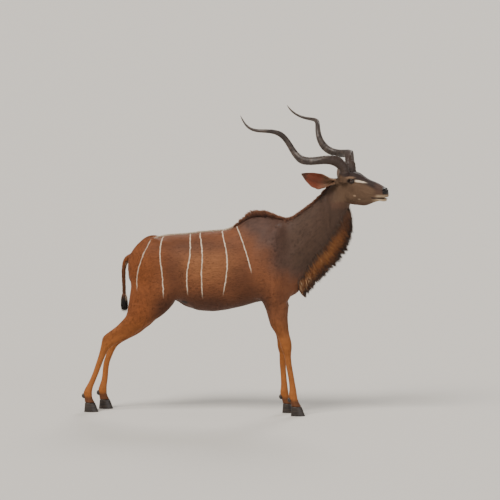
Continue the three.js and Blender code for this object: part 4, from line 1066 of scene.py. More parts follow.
def lie_of(p, n):
    """Which way the coat lies at places on the skin: back and down, along neck and limbs."""
    a, _, _ = head_local(to_frame(p))
    down = np.array([-0.08, 0, -1.0])
    back = np.array([-0.9, 0, -0.42])
    along = unit(np.array([-0.62, 0.0, -0.78]))
    w = clamp01((p[:, 0] - 520) / 200)[:, None] * clamp01((p[:, 2] - 850) / 80)[:, None]
    d = back * (1 - w) + along * w
    rump = clamp01((-300 - p[:, 0]) / 140)[:, None]
    d = d * (1 - rump) + np.array([-0.25, 0, -1.0]) * rump
    on_belly = (np.abs(p[:, 0] - 140) < 300) * (p[:, 2] > 705)
    low = clamp01((840 - p[:, 2]) / 130)[:, None] * (1 - clamp01(on_belly))[:, None]
    d = d * (1 - low) + down * low
    face = (clamp01((a + 150) / 60) * (p[:, 2] > 1400))[:, None]
    d = d * (1 - face) + (-FORWARD + 0.1 * UP) * face
    d = unit(d)
    return unit(d - n * np.sum(d * n, axis=1, keepdims=True) + 1e-6)


def coat_length(p):
    """Length of the short coat in millimetres: shortest on the face and feet."""
    a, _, _ = head_local(to_frame(p))
    head = (p[:, 2] > 1400) & (a > -150)
    length = np.full(len(p), 19.0)
    length = np.where(p[:, 0] > 620, 23.0, length)
    length = np.where(p[:, 2] < 760, mix(8.0, 17.0, clamp01((p[:, 2] - 80) / 600)), length)
    length = np.where(head, mix(12.0, 4.2, clamp01((a + 100) / 260)), length)
    return length


def on_skin(mesh, count, weigh, rng):
    """Random places and normals on the skin, as dense as the weight asks."""
    mesh.calc_loop_triangles()
    tri = np.empty(len(mesh.loop_triangles) * 3, np.int32)
    mesh.loop_triangles.foreach_get("vertices", tri)
    tri = tri.reshape(-1, 3)
    co = positions(mesh) / MM + FRAME_SHIFT
    vn = np.empty(len(mesh.vertices) * 3)
    mesh.vertex_normals.foreach_get("vector", vn)
    vn = vn.reshape(-1, 3)
    p0, p1, p2 = co[tri[:, 0]], co[tri[:, 1]], co[tri[:, 2]]
    area = np.linalg.norm(np.cross(p1 - p0, p2 - p0), axis=1) / 2
    weight = area * weigh((p0 + p1 + p2) / 3)
    pick = rng.choice(len(tri), count, p=weight / weight.sum())
    r1, r2 = np.sqrt(rng.random(count)), rng.random(count)
    bary = np.column_stack([1 - r1, r1 * (1 - r2), r1 * r2])
    place = sum(bary[:, k:k + 1] * co[tri[pick, k]] for k in range(3))
    normal = unit(sum(bary[:, k:k + 1] * vn[tri[pick, k]] for k in range(3)))
    return place, normal


def bare(p):
    """True where no short tuft grows: nose pad, mouth, eyes, horn seats and hooves."""
    a, b, c = head_local(to_frame(p))
    eye = np.hypot((a - EYE_AT[0]) / 24, (c - EYE_AT[2]) / 17) < 1
    nose = (a > 226) & (c > -152)
    mouth = (a > 148) & (c < -150) & (c > -192)
    horn = (np.hypot(a - HORN_SEAT[0], np.abs(b) - HORN_SEAT[1]) < 46) & (c > -30)
    head = (p[:, 2] > 1400) & (np.abs(b) < 120) & (c > -250) & (eye & (np.abs(b) > 40) | nose | mouth | horn)
    return head | (p[:, 2] < 70)


def short_coat(name, mesh, count, region, unwrap, seed, fine=1.0):
    """Short tufts lying flat over one region of the skin."""
    rng = np.random.default_rng(seed)

    def weigh(p):
        """Denser where tufts are short, and none where the skin is bare."""
        return region(p) * ~bare(p) / coat_length(p) ** 1.25

    root, normal = on_skin(mesh, count, weigh, rng)
    lie = lie_of(root, normal)
    across = np.cross(normal, lie)
    turn = rng.normal(0, 0.16, count)[:, None]
    lie = unit(lie + across * turn)
    across = np.cross(normal, lie)
    length = coat_length(root) * rng.uniform(0.7, 1.2, count) * fine
    lift = length * (rng.uniform(0.0, 0.02, count) + 0.06 * (rng.random(count) > 0.92))
    root = root - normal * 0.5
    bend = root + lie * (length * 0.45)[:, None] + normal * (lift * 1.2 + 0.6)[:, None]
    tip = root + lie * length[:, None] + normal * (lift + 0.25)[:, None]
    width = length * rng.uniform(0.05, 0.085, count)
    form = unit_tuft(2, 0.7, True)
    thick, shade = width * 0.16, rng.random(count)
    return tuft_mesh(name, root, bend, tip, across, width, thick, shade, unwrap(root), form, normal)


def fringe(name, root, out, tip, across, count, rows, width, seed, unwrap, bow=0.35):
    """Long hair in fine tapered strands that bow from the root outwards and then to the tip."""
    rng = np.random.default_rng(seed)
    span = np.linalg.norm(tip - root, axis=1)[:, None]
    bend = root + out * span * bow + (tip - root) * 0.35
    wide = width * rng.uniform(0.7, 1.3, count)
    shade, form = rng.random(count), unit_tuft(rows, 0.55)
    return tuft_mesh(name, root, bend, tip, across, wide, wide * 0.45, shade, unwrap(root), form)


def build_beard(unwrap, part, count):
    """Hair under the throat from the jaw to the chest: short by the jaw, longest low on the neck."""
    rng = np.random.default_rng(RNG_SEED + 7 + part)
    clumps = 46
    middles = (np.arange(clumps) + rng.uniform(-0.3, 0.3, clumps)) / clumps * 0.94 + 0.02
    sweeps = rng.uniform(0.02, 0.1, clumps)
    reaches = rng.uniform(0.78, 1.02, clumps)
    sways = rng.normal(0, 7, clumps)
    member = rng.integers(0, clumps, count)
    share = np.clip(middles[member] + rng.normal(0, 0.014, count), 0.02, 0.965)
    angle = -math.pi / 2 + rng.normal(0, 0.2, count)
    root, out, tip, across = [], [], [], []
    for t, which, w in zip(share, member, angle):
        ring = neck_ring(float(t), np.array([w, -math.pi / 2, 0.0, math.pi]), 7.0)
        top, low = neck_spine(float(t))
        here = ring[0]
        edge_share = min(0.96, max(0.02, t * 0.35 + middles[which] * 0.65 - sweeps[which]))
        edge = np.array([curve(BEARD_EDGE, 1, edge_share), low[1], curve(BEARD_EDGE, 2, edge_share)])
        reach_here = rng.uniform(0.5, 1.0) ** 0.5 * reaches[which]
        side = (here - ring[1]) * 0.35
        sway = side_axis(float(t)) * (sways[which] + rng.normal(0, 4)) + rng.normal(0, 3, 3)
        end = ring[1] + (edge - ring[1]) * reach_here * 1.02 + side + sway
        root.append(here)
        out.append(unit(low - top))
        tip.append(end)
        across.append(unit(np.cross(end - here, side_axis(float(t)))))
    root, out, tip, across = map(np.array, (root, out, tip, across))
    obj = fringe(f"beard_{part}", root, out, tip, across, count, 5, 1.5, RNG_SEED + 11 + part, unwrap, 0.22)
    return obj


def back_point(x):
    """Top of the trunk at a place along it."""
    return float(curve(TRUNK, 1, min(x, 730)))


def build_crest(unwrap, rng, count):
    """Standing crest of clumps over the withers."""
    clumps = 62
    member = rng.integers(0, clumps, count)
    middle = np.linspace(240, 596, clumps) + rng.normal(0, 4, clumps)
    x = np.clip(middle[member] + rng.normal(0, 4.5, count), 236, 600)
    y = rng.normal(0, 9, count)
    tall = rng.uniform(0.62, 1.0, clumps)[member] * rng.uniform(0.6, 1.06, count)
    high = 44 * np.sin(np.pi * clamp01((x - 222) / 400)) ** 0.6 * tall
    z = np.array([back_point(v) for v in x]) - 7 - 0.02 * y**2
    root = np.column_stack([x, y, z])
    lean = rng.normal(0.6, 0.2, clumps)[member] + rng.normal(0, 0.1, count)
    sway = rng.normal(0, 5, clumps)[member] + rng.normal(0, 3, count)
    tip = root + np.column_stack([-high * lean, y * 0.3 + sway, high + 4])
    out = np.tile([0.1, 0.0, 1.0], (count, 1))
    across = np.tile([1.0, 0.0, 0.2], (count, 1)) + rng.normal(0, 0.3, (count, 3))
    crest = fringe("withers_crest", root, out, tip, across, count, 4, 1.3, RNG_SEED + 29, unwrap)


def build_nape(unwrap, rng, count):
    """Short mane along the nape."""
    clumps = 70
    member = rng.integers(0, clumps, count)
    share = np.clip((member + 0.5) / clumps + rng.normal(0, 0.007, count), 0.0, 0.985)
    tall = rng.uniform(0.6, 1.05, clumps)[member] * rng.uniform(0.6, 1.05, count)
    root, tip, out = [], [], []
    for t, grow in zip(share, tall):
        ring = neck_ring(float(t), np.array([math.pi / 2 + rng.normal(0, 0.09), math.pi / 2]), 6.0)
        top, low = neck_spine(float(t))
        up = unit(top - low)
        back = unit(np.array([-0.75, 0, -0.65]))
        high = mix(27, 22, t) * grow
        root.append(ring[0])
        tip.append(ring[0] + up * (high * 0.8 + 5) + back * high * 1.1 + rng.normal(0, 2.5, 3))
        out.append(up)
    root, tip, out = map(np.array, (root, tip, out))
    across = np.tile([0.7, 0.0, 0.7], (count, 1)) + rng.normal(0, 0.3, (count, 3))
    nape = fringe("nape_mane", root, out, tip, across, count, 4, 1.4, RNG_SEED + 31, unwrap)


def build_back_line(unwrap, rng, count):
    """Pale line of short hair down the back."""
    x = rng.uniform(-400, 246, count)
    y = rng.normal(0, 3.5, count)
    root = np.column_stack([x, y, np.array([back_point(v) for v in x]) - 6 - 0.02 * y**2])
    long = rng.uniform(9, 16, count)
    tip = root + np.column_stack([-long * 0.75, rng.normal(0, 3, count), long * 0.62 + 4])
    out = np.tile([0.2, 0.0, 1.0], (count, 1))
    across = np.tile([0.3, 1.0, 0.0], (count, 1))
    line = fringe("back_line", root, out, tip, across, count, 3, 1.1, RNG_SEED + 37, unwrap)


def build_tail_hair(unwrap, count):
    """Hair down the tail, pale on its inner edge, and the black tuft at its end."""
    rng = np.random.default_rng(RNG_SEED + 41)
    path = catmull([(x, 0, z) for x, z in TAIL_PATH], 200)
    end = rng.random(count) < 0.5
    at = np.where(end, rng.uniform(0.86, 1.0, count), rng.uniform(0.2, 0.9, count))
    here = path[(at * 199).astype(int)]
    ahead = unit(np.gradient(path, axis=0))[(at * 199).astype(int)]
    spin = rng.uniform(0, 2 * math.pi, count)
    out = unit(np.column_stack([np.cos(spin), np.sin(spin) * 1.1, np.zeros(count)]) + ahead * 0.2)
    wide = np.interp(at * 7, np.arange(8), TAIL_RADII)
    root = here + out * (wide * 0.6)[:, None]
    long = np.where(end, rng.uniform(46, 104, count), rng.uniform(22, 38, count))
    droop = np.column_stack([np.zeros(count), np.zeros(count), -np.ones(count)])
    away = np.where(end, wide * 0.4 + 20 * rng.random(count) ** 0.7, wide * 0.45 + 9 * rng.random(count))
    tip = here + unit(ahead * 0.5 + droop) * long[:, None] + out * away[:, None]
    tip[:, 2] = np.maximum(tip[:, 2], 686 + rng.uniform(0, 30, count))
    across = np.cross(out, droop) + 0.01
    tail = fringe("tail_tuft", root, out, tip, across, count, 5, 1.7, RNG_SEED + 43, unwrap, 0.2)


def build_ear_hair(side, unwrap, count):
    """Pale and dark hair along the rim and inside the cup of one ear."""
    rng = np.random.default_rng(RNG_SEED + 51 + side)
    root, axis, opened, wide = ear_frame(side)
    t = rng.uniform(0.02, 0.98, count)
    half, curl, back = [curve(EAR_ROWS, k, t) for k in (1, 2, 3)]
    curl = np.radians(curl)
    radius = half / np.where(curl < math.pi / 2, np.sin(curl), 1.0)
    rim = rng.random(count) < 0.55
    on_rim = np.where(rng.random(count) < 0.5, 1, -1) * curl * rng.uniform(0.93, 1.0, count)
    w = np.where(rim, on_rim, rng.uniform(-0.9, 0.9, count) * curl)
    radial = wide * np.sin(w)[:, None] - opened * np.cos(w)[:, None]
    centre = root + axis * (6 + t * EAR_LENGTH)[:, None] + opened * (radius + back)[:, None]
    centre = centre + ear_bend(side, t)
    thick = np.minimum(4.0, half * 0.5)
    place = centre + radial * (radius - thick * np.where(rim, 0.5, 0.8))[:, None]
    inward = -radial
    long = np.where(rim, rng.uniform(7, 15, count), rng.uniform(8, 20, count)) * (1 - 0.4 * t)
    sign = np.sign(w)[:, None]
    tangent = wide * np.cos(w)[:, None] + opened * np.sin(w)[:, None]
    aim = np.where(rim[:, None], tangent * sign * 0.45 + axis * 0.9 + inward * 0.5, axis * 0.9 + inward * 0.5)
    tip = place + unit(aim) * long[:, None]
    name = "ear_hair_" + side_name(side)
    obj = fringe(name, place, inward, tip, np.cross(aim, inward), count, 3, 0.75, RNG_SEED + 53, unwrap, 0.12)


def build_lashes(side, unwrap, count):
    """Upper lashes along the lid of one eye."""
    rng = np.random.default_rng(RNG_SEED + 61 + side)
    ea, eb, ec = EYE_AT
    w = np.linspace(0.35, 2.8, count) + rng.normal(0, 0.03, count)
    da, dc = 19.5 * np.cos(w), 11.5 * np.sin(w)
    root = head_point(ea + da, side * (eb + 17.5), ec + dc)
    beside = eb + 29 + rng.normal(0, 1.5, count)
    tip = head_point(ea + da * 1.2 + 3, side * beside, ec + dc - 3 + rng.normal(0, 1.5, count))
    out = np.tile(side * LEFT + 0.4 * UP, (count, 1))
    across = np.tile(FORWARD, (count, 1))
    name = "lashes_" + side_name(side)
    obj = fringe(name, root, out, tip, across, count, 3, 0.42, 5, unwrap, 0.25)


def rgb(red, green, blue):
    """A display colour of 0 to 255 as the linear one a material wants."""
    shares = [v / 255 for v in (red, green, blue)]
    return (*[((v + 0.055) / 1.055) ** 2.4 if v > 10 / 255 else v / 12.92 for v in shares], 1.0)


class Net:
    """Short calls for the nodes of one material."""

    def __init__(self, name):
        self.material = bpy.data.materials.new(name)
        self.material.use_nodes = True
        self.tree = self.material.node_tree
        self.shader = self.tree.nodes["Principled BSDF"]

    def put(self, socket, value):
        """Sets a socket, or links an output to it."""
        if isinstance(value, bpy.types.NodeSocket):
            self.tree.links.new(value, socket)
        else:
            socket.default_value = value

    def make(self, kind, **settings):
        node = self.tree.nodes.new(kind)
        for key, value in settings.items():
            setattr(node, key, value)
        return node

    def op(self, operation, a, b=0.0, c=0.0):
        node = self.make("ShaderNodeMath", operation=operation)
        for socket, value in zip(node.inputs, (a, b, c)):
            self.put(socket, value)
        return node.outputs[0]

    def add(self, a, b):
        return self.op("ADD", a, b)

    def less(self, a, b):
        return self.op("SUBTRACT", a, b)

    def times(self, *values):
        result = values[0]
        for value in values[1:]:
            result = self.op("MULTIPLY", result, value)
        return result

    def size(self, a):
        """A value without its sign."""
        return self.op("ABSOLUTE", a)

    def attribute(self, name, output="Fac"):
        """A value that the mesh carries."""
        return self.make("ShaderNodeAttribute", attribute_name=name).outputs[output]

    def scaled(self, vector, amount):
        """A colour or direction made stronger or weaker."""
        node = self.make("ShaderNodeVectorMath", operation="SCALE")
        self.put(node.inputs[0], vector)
        self.put(node.inputs["Scale"], amount)
        return node.outputs[0]

    def ramp(self, value, low, high):
        """0 at low and 1 at high, eased; low may be the larger."""
        node = self.make("ShaderNodeMapRange", interpolation_type="SMOOTHSTEP")
        turned = low > high
        self.put(node.inputs["Value"], value)
        self.put(node.inputs["From Min"], high if turned else low)
        self.put(node.inputs["From Max"], low if turned else high)
        self.put(node.inputs["To Min"], 1.0 if turned else 0.0)
        self.put(node.inputs["To Max"], 0.0 if turned else 1.0)
        return node.outputs["Result"]

    def spot(self, u, v, at, radii, soft=0.35):
        """1 inside an oval of two coordinates, fading at its edge."""
        du = self.times(self.less(u, at[0]), 1 / radii[0])
        dv = self.times(self.less(v, at[1]), 1 / radii[1])
        far = self.op("SQRT", self.add(self.times(du, du), self.times(dv, dv)))
        return self.ramp(far, 1 + soft, 1 - soft)

    def paint(self, under, over, cover):
        """One colour over another, as far as it covers."""
        node = self.make("ShaderNodeMix", data_type="RGBA")
        self.put(node.inputs["Factor"], cover)
        self.put(node.inputs[6], under)
        self.put(node.inputs[7], over)
        return node.outputs[2]

    def mark(self, under, key, cover, share=None):
        """One of the kudu's colours over another, as far as the share of its cover."""
        return self.paint(under, tint(key), cover if share is None else self.times(cover, share))

    def noise(self, scale, detail=4.0, stretch=(1, 1, 1), distortion=0.0, place=None):
        """Uneven values from 0 to 1, over the body or another vector."""
        moved = self.make("ShaderNodeMapping")
        self.put(moved.inputs["Vector"], place or self.place)
        moved.inputs["Scale"].default_value = stretch
        node = self.make("ShaderNodeTexNoise")
        self.put(node.inputs["Vector"], moved.outputs[0])
        node.inputs["Scale"].default_value = scale
        node.inputs["Detail"].default_value = detail
        node.inputs["Distortion"].default_value = distortion
        return node.outputs["Fac"]

    def coordinates(self):
        """Millimetre coordinates of the body and of the head's own axes."""
        self.place = self.make("ShaderNodeTexCoord").outputs["Object"]
        parts = self.make("ShaderNodeSeparateXYZ")
        self.put(parts.inputs[0], self.place)
        self.x, self.y, self.z = [
            self.op("MULTIPLY_ADD", parts.outputs[k], 1000.0, float(FRAME_SHIFT[k])) for k in range(3)
        ]
        self.side = self.size(self.y)
        local = []
        for axis in (FORWARD, LEFT, UP):
            node = self.make("ShaderNodeVectorMath", operation="DOT_PRODUCT")
            self.put(node.inputs[0], self.place)
            node.inputs[1].default_value = tuple(axis * 1000)
            local.append(self.add(node.outputs["Value"], float((FRAME_SHIFT - HEAD_ORIGIN) @ axis)))
        self.a, self.b, self.c = local
        self.cheek = self.size(self.b)

    def finish(self, colour, roughness, height=None, strength=0.3, depth=0.001, **constants):
        """Joins colour, roughness and any bump to the surface."""
        self.put(self.shader.inputs["Base Color"], colour)
        self.put(self.shader.inputs["Roughness"], roughness)
        if height is not None:
            bump = self.make("ShaderNodeBump")
            bump.inputs["Strength"].default_value = strength
            bump.inputs["Distance"].default_value = depth
            self.put(bump.inputs["Height"], height)
            self.put(self.shader.inputs["Normal"], bump.outputs[0])
        for key, value in constants.items():
            self.shader.inputs[key.replace("_", " ")].default_value = value
        return self.material


STRIPES = [
    # places of each stripe down the flank: x at z
    [(-350, 1195), (-420, 1004), (-427, 884)],
    [(-259, 1232), (-266, 1134), (-245, 960), (-238, 841)],
    [(-70, 1266), (-56, 1140), (-74, 1000), (-70, 860)],
    [(0, 1275), (28, 1143), (28, 968), (35, 842)],
    [(154, 1287), (203, 1113), (203, 1008), (182, 868)],
    [(259, 1318), (315, 1200), (371, 1027)],
]


def tint(key):
    """One of the kudu's colours, as the panel has it."""
    return tuple(getattr(bpy.context.scene.kudu, key))


def body_colour(net):
    """The kudu's markings over the whole body, with painted shade and a painted highlight, the same for skin
    and tufts.
    """
    x, z, side = net.x, net.z, net.side
    drift = net.less(net.noise(5.0, 3.0), 0.5)
    colour = tint("flank")
    warm = net.ramp(x, -120, -420)
    colour = net.mark(colour, "thigh", warm)
    level = net.add(z, net.times(drift, 160.0))
    # Painted highlight: a lighter oval on the middle of the flank stands in for light falling there.
    lit = net.times(net.spot(x, z, (70, 1060), (190, 110), 0.7), 0.4)
    colour = net.mark(colour, "flank_painted_highlight", lit, 1.2)
    # Painted shade: darker patches in the flank hollow before the thigh, behind the shoulder and along the
    # upper flank, in the belly colour.
    for at, radii in (((-165, 1010), (70, 120)), ((300, 960), (90, 110)), ((-20, 1190), (260, 40))):
        painted_hollow_shade = net.spot(net.add(x, net.times(drift, 120.0)), z, at, radii, 0.8)
        colour = net.mark(colour, "belly", painted_hollow_shade, 0.52)
    # Painted shade: the lower flank and the belly between the legs are darkened, as where light from above
    # does not reach.
    painted_underside_shade = net.ramp(level, 905, 760)
    between_legs = net.ramp(net.size(net.less(x, 90)), 460, 330)
    colour = net.paint(colour, tint("belly"), net.times(painted_underside_shade, between_legs, 0.85))
    fore = net.ramp(net.add(net.add(x, net.times(z, 0.93)), net.times(drift, 260.0)), 1420, 1640)
    high = net.ramp(level, 880, 1040)
    colour = net.paint(colour, tint("hump"), net.times(fore, high, 0.85))
    neck = net.times(net.ramp(net.add(x, net.times(drift, 120.0)), 520, 700), net.ramp(z, 960, 1080))
    colour = net.mark(colour, "neck", neck, 0.9)
    # Painted shade behind the elbow, where the foreleg meets the trunk.
    painted_elbow_shade = net.spot(x, z, (400, 830), (90, 90), 0.6)
    colour = net.mark(colour, "belly", painted_elbow_shade, 0.55)
    leg = net.ramp(net.add(z, net.times(drift, 80.0)), 720, 470)
    colour = net.mark(colour, "limbs", leg, 0.85)
    by_hock = net.ramp(net.size(net.less(z, 600)), 160, 60)
    hock = net.times(net.ramp(z, 700, 560), by_hock, net.ramp(x, -300, -420))
    colour = net.mark(colour, "thigh", hock, 0.35)
    # Painted shade on the inner sides of the forelegs, between them.
    painted_inner_shade_height = net.times(net.ramp(z, 560, 620), net.ramp(z, 800, 700))
    inner = net.times(net.ramp(side, 62, 40), painted_inner_shade_height, net.ramp(x, 420, 480))
    colour = net.mark(colour, "darkest", inner, 0.7)
    foot = net.ramp(net.add(z, net.times(drift, 30.0)), 128, 96)
    colour = net.mark(colour, "pastern", foot, 0.75)
    # Painted shadow: a dark spot standing for the shadow in the fold at the sheath.
    sheath_painted_shadow = net.times(net.spot(x, z, (-98, 786), (24, 11), 0.5), net.ramp(side, 125, 105), 0.85)
    colour = net.mark(colour, "darkest", sheath_painted_shadow)
    rough_edge = net.times(net.less(net.noise(42.0, 3.0), 0.5), 12.0)
    half = bpy.context.scene.kudu.stripe_width * 500
    for k, line in enumerate(STRIPES):
        curve_node = net.make("ShaderNodeFloatCurve")
        points = sorted((zz, xx) for xx, zz in line)
        curve_map = curve_node.mapping.curves[0]
        while len(curve_map.points) < len(points):
            curve_map.points.new(0.5, 0.5)
        for point, (zz, xx) in zip(curve_map.points, points):
            point.location = ((zz - 700) / 700, (xx + 500) / 1000)
        curve_node.mapping.update()
        net.put(curve_node.inputs["Value"], net.times(net.less(z, 700.0), 1 / 700))
        centre = net.less(net.times(curve_node.outputs[0], 1000.0), 500.0)
        off = net.size(net.less(net.add(x, rough_edge), centre))
        low, high_z = points[0][0], points[-1][0]
        ends = net.times(net.ramp(z, low - 30, low + 40), net.ramp(z, high_z + 40, high_z + 10))
        line_cover = net.times(net.ramp(off, half * 1.3, half * 0.5), ends)
        stripe = net.times(line_cover, 0.82 if k else 0.6, net.ramp(side, 10, 30))
        colour = net.mark(colour, "pale", stripe)
    ridge = net.times(net.ramp(side, 13, 6), net.ramp(x, -420, -340), net.ramp(x, 250, 190))
    ridge = net.times(ridge, net.ramp(z, 1150, 1190))
    colour = net.mark(colour, "pale", ridge, 0.8)
    spine = net.times(net.ramp(net.add(side, rough_edge), 26, 10), net.ramp(x, 215, 262))
    spine = net.times(spine, net.ramp(z, 1290, 1330), net.ramp(x, 1010, 960))
    colour = net.mark(colour, "crest", spine, 0.9)
    tail = net.times(net.ramp(x, -505, -518), net.ramp(side, 45, 35), net.ramp(z, 1110, 1090))
    colour = net.mark(colour, "thigh", tail)
    return head_colour(net, colour)


def head_colour(net, colour):
    """Dark forehead, pale chevron, lips and chin, black nose, cheek spots, eye surrounds and painted shade in
    the gap between the lips.
    """
    a, c, cheek = net.a, net.c, net.cheek
    rough_edge = net.times(net.less(net.noise(45.0, 3.0), 0.5), 14.0)
    on_head = net.times(net.ramp(a, -165, -95), net.ramp(net.z, 1440, 1480), net.ramp(cheek, 130, 118))
    face = tint("cheek")
    brow = net.ramp(net.add(net.add(c, net.times(a, 0.38)), rough_edge), -58, -30)
    brow = net.times(brow, net.ramp(a, -150, -100))
    face = net.mark(face, "forehead", brow)
    bridge = net.times(net.ramp(net.add(c, net.times(a, 0.42)), -34, -8), net.ramp(a, 60, 120))
    face = net.mark(face, "forehead", bridge, 0.75)
    line = net.add(c, net.add(55.0, net.times(net.less(a, 30.0), 0.18)))
    narrow = net.add(3.2, net.times(net.ramp(a, 118, 40), 5.0))
    off = net.op("DIVIDE", net.size(net.add(line, net.times(rough_edge, 0.5))), narrow)
    chevron = net.times(net.ramp(off, 1.35, 0.5), net.ramp(a, 20, 42), net.ramp(a, 122, 84))
    face = net.mark(face, "pale", chevron, 0.85)
    front = net.times(net.spot(a, c, (-2, -34), (30, 8), 0.5), net.ramp(cheek, 40, 52))
    face = net.mark(face, "eye_mark", front, 0.7)
    rim = net.times(net.spot(a, c, (EYE_AT[0], EYE_AT[2]), (27, 18), 0.25), net.ramp(cheek, 45, 55))
    face = net.mark(face, "darkest", rim, 0.9)
    wander = net.times(rough_edge, 0.5)
    for at, radii in (((24, -160), (9, 6)), ((52, -186), (10, 5))):
        spot = net.spot(net.add(a, wander), net.less(c, wander), at, radii, 0.6)
        face = net.mark(face, "cheek_spots", spot, 0.5)
    jaw = net.times(net.ramp(net.add(c, rough_edge), -196, -222), net.ramp(a, 150, 100))
    face = net.mark(face, "jaw", jaw, 0.6)
    muzzle = net.ramp(net.add(a, net.times(rough_edge, 0.6)), 150, 196)
    face = net.mark(face, "muzzle", muzzle, 0.75)
    lip_height = net.ramp(net.add(c, net.times(rough_edge, 0.5)), -140, -156)
    lips = net.times(net.ramp(net.add(a, net.times(c, -0.15)), 186, 226), lip_height)
    face = net.mark(face, "lips", lips, 0.8)
    chin_height = net.ramp(net.add(c, net.times(rough_edge, 0.4)), -174, -188)
    chin = net.times(net.ramp(net.add(a, rough_edge), 132, 180), chin_height)
    face = net.mark(face, "chin", chin, 0.75)
    pad = net.times(net.ramp(net.add(a, net.times(cheek, -0.35)), 214, 228), net.ramp(c, -146, -140))
    face = net.mark(face, "nose", pad)
    # Painted shade: the gap between the lips is darkened.
    gap = net.times(net.ramp(a, 138, 150), net.ramp(net.size(net.add(c, 172.0)), 7, 2), net.ramp(a, 240, 225))
    face = net.mark(face, "mouth", gap)
    return net.paint(colour, face, on_head)


def coat_material(hair):
    """The markings with their painted shade and highlight, for the short tufts or for the skin under them."""
    net = Net("kudu_coat_hair" if hair else "kudu_coat_skin")
    net.coordinates()
    colour = body_colour(net)
    blotch = net.noise(14.0, 5.0)
    if not hair:
        flow = net.attribute("flow", "Vector")
        fine = net.noise(320.0, 3.0, place=flow)
        broad = net.noise(90.0, 3.0, place=flow)
    if hair:
        shade = net.attribute("shade")
        tip = net.attribute("tip")
        light = net.add(0.8, net.add(net.times(shade, 0.3), net.times(tip, 0.14)))
    else:
        light = net.add(0.5, net.add(net.times(fine, 0.55), net.times(broad, 0.4)))
    light = net.times(light, net.add(0.78, net.times(blotch, 0.44)))
    tone = net.scaled(colour, light)
    wet = net.times(net.ramp(net.a, 224, 232), net.ramp(net.c, -146, -140), net.ramp(net.z, 1440, 1480))
    roughness = net.less(0.66, net.times(wet, 0.3))
    fixed = {"Sheen_Weight": 0.05, "Sheen_Roughness": 0.5, "Specular_IOR_Level": 0.25}
    if hair:
        facing = net.attribute("facing", "Vector")
        own = net.make("ShaderNodeNewGeometry").outputs["Normal"]
        both = net.make("ShaderNodeVectorMath", operation="ADD")
        net.put(both.inputs[0], facing)
        net.put(both.inputs[1], net.scaled(own, OWN_NORMAL_SHARE))
        level = net.make("ShaderNodeVectorMath", operation="NORMALIZE")
        net.put(level.inputs[0], both.outputs[0])
        net.put(net.shader.inputs["Normal"], level.outputs[0])
        return net.finish(tone, roughness, **fixed)
    grain = net.add(net.times(fine, 0.6), net.times(broad, 0.9))
    return net.finish(tone, roughness, grain, 0.6, 0.0022, **fixed)


def long_hair_material(name, root, middle, end, from_tip, to_tip):
    """Strands of one colour at the root, another along them and a dark or pale end."""
    net = Net(name)
    net.coordinates()
    shade = net.attribute("shade")
    tip = net.attribute("tip")
    colour = net.paint(root, middle, net.ramp(tip, 0.05, 0.4))
    start = net.add(tip, net.times(net.less(shade, 0.5), 0.35))
    colour = net.paint(colour, end, net.ramp(start, from_tip, to_tip))
    light = net.add(0.72, net.times(shade, 0.5))
    tone = net.scaled(colour, light)
    return net.finish(tone, 0.55, Sheen_Weight=0.05, Specular_IOR_Level=0.3)


def beard_material():
    """Neck-brown roots, tan strands with pale ones low down, dark ends."""
    net = Net("kudu_beard")
    net.coordinates()
    shade = net.attribute("shade")
    tip = net.attribute("tip")
    tan = net.paint(tint("mane"), tint("mane_light"), net.ramp(shade, 0.2, 1.0))
    high = net.ramp(net.add(net.z, net.times(shade, 90.0)), 1270, 1400)
    tan = net.mark(tan, "mane_high", high, 0.9)
    pale = net.times(net.ramp(net.z, 1010, 900), net.ramp(shade, 0.55, 0.7), net.ramp(tip, 0.2, 0.5))
    tan = net.mark(tan, "mane_pale", pale)
    colour = net.paint(tint("neck"), tan, net.ramp(tip, 0.12, 0.4))
    start = net.add(tip, net.times(net.less(shade, 0.5), 0.4))
    colour = net.paint(colour, tint("darkest"), net.ramp(start, 0.62, 0.86))
    light = net.add(0.75, net.times(shade, 0.4))
    tone = net.scaled(colour, light)
    return net.finish(tone, 0.52, Sheen_Weight=0.05, Specular_IOR_Level=0.3)


def tail_material():
    """Brown stem, pale inner edge, black tuft."""
    net = Net("kudu_tail")
    net.coordinates()
    shade = net.attribute("shade")
    inner = net.times(net.ramp(net.x, -526, -516), net.ramp(net.z, 1062, 1040))
    colour = net.paint(tint("tail"), tint("pale"), net.times(inner, net.ramp(shade, 0.25, 0.5), 0.9))
    level = net.add(net.z, net.times(net.less(shade, 0.5), 46.0))
    colour = net.paint(colour, tint("tail_end"), net.ramp(level, 822, 790))
    tone = net.scaled(colour, net.add(0.75, net.times(shade, 0.45)))
    return net.finish(tone, 0.55, Sheen_Weight=0.05, Specular_IOR_Level=0.3)


def ear_material(side):
    """Grey-brown back of the leaf, reddish cup, dark rim toward the tip."""
    net = Net("kudu_ear_" + side_name(side))
    net.coordinates()
    root, axis, opened, wide = ear_frame(side)
    normal = net.make("ShaderNodeNewGeometry").outputs["Normal"]
    values = []
    for vector, start, scale in ((opened, normal, 1.0), (axis, net.place, 1000.0), (wide, net.place, 1000.0)):
        node = net.make("ShaderNodeVectorMath", operation="DOT_PRODUCT")
        net.put(node.inputs[0], start)
        node.inputs[1].default_value = tuple(vector * scale)
        values.append(node.outputs["Value"])
    inside = net.ramp(values[0], -0.1, 0.3)
    along = net.times(net.add(values[1], float((FRAME_SHIFT - root) @ axis)), 1 / EAR_LENGTH)
    colour = net.paint(tint("ear_back"), tint("ear_back_end"), net.ramp(along, 0.2, 0.9))
    uneven = net.times(net.less(net.noise(34.0, 3.0), 0.5), 0.3)
    cup = net.paint(tint("ear_root"), tint("ear"), net.ramp(net.add(along, uneven), 0.15, 0.5))
    colour = net.paint(colour, cup, inside)
    colour = net.paint(colour, tint("ear_tip"), net.times(net.ramp(along, 0.76, 0.95), 0.85))
    tone = net.scaled(colour, net.add(0.75, net.times(net.noise(60.0, 4.0), 0.5)))
    return net.finish(tone, 0.66, net.noise(700.0, 2.0), 0.4, 0.0012, Sheen_Weight=0.05)


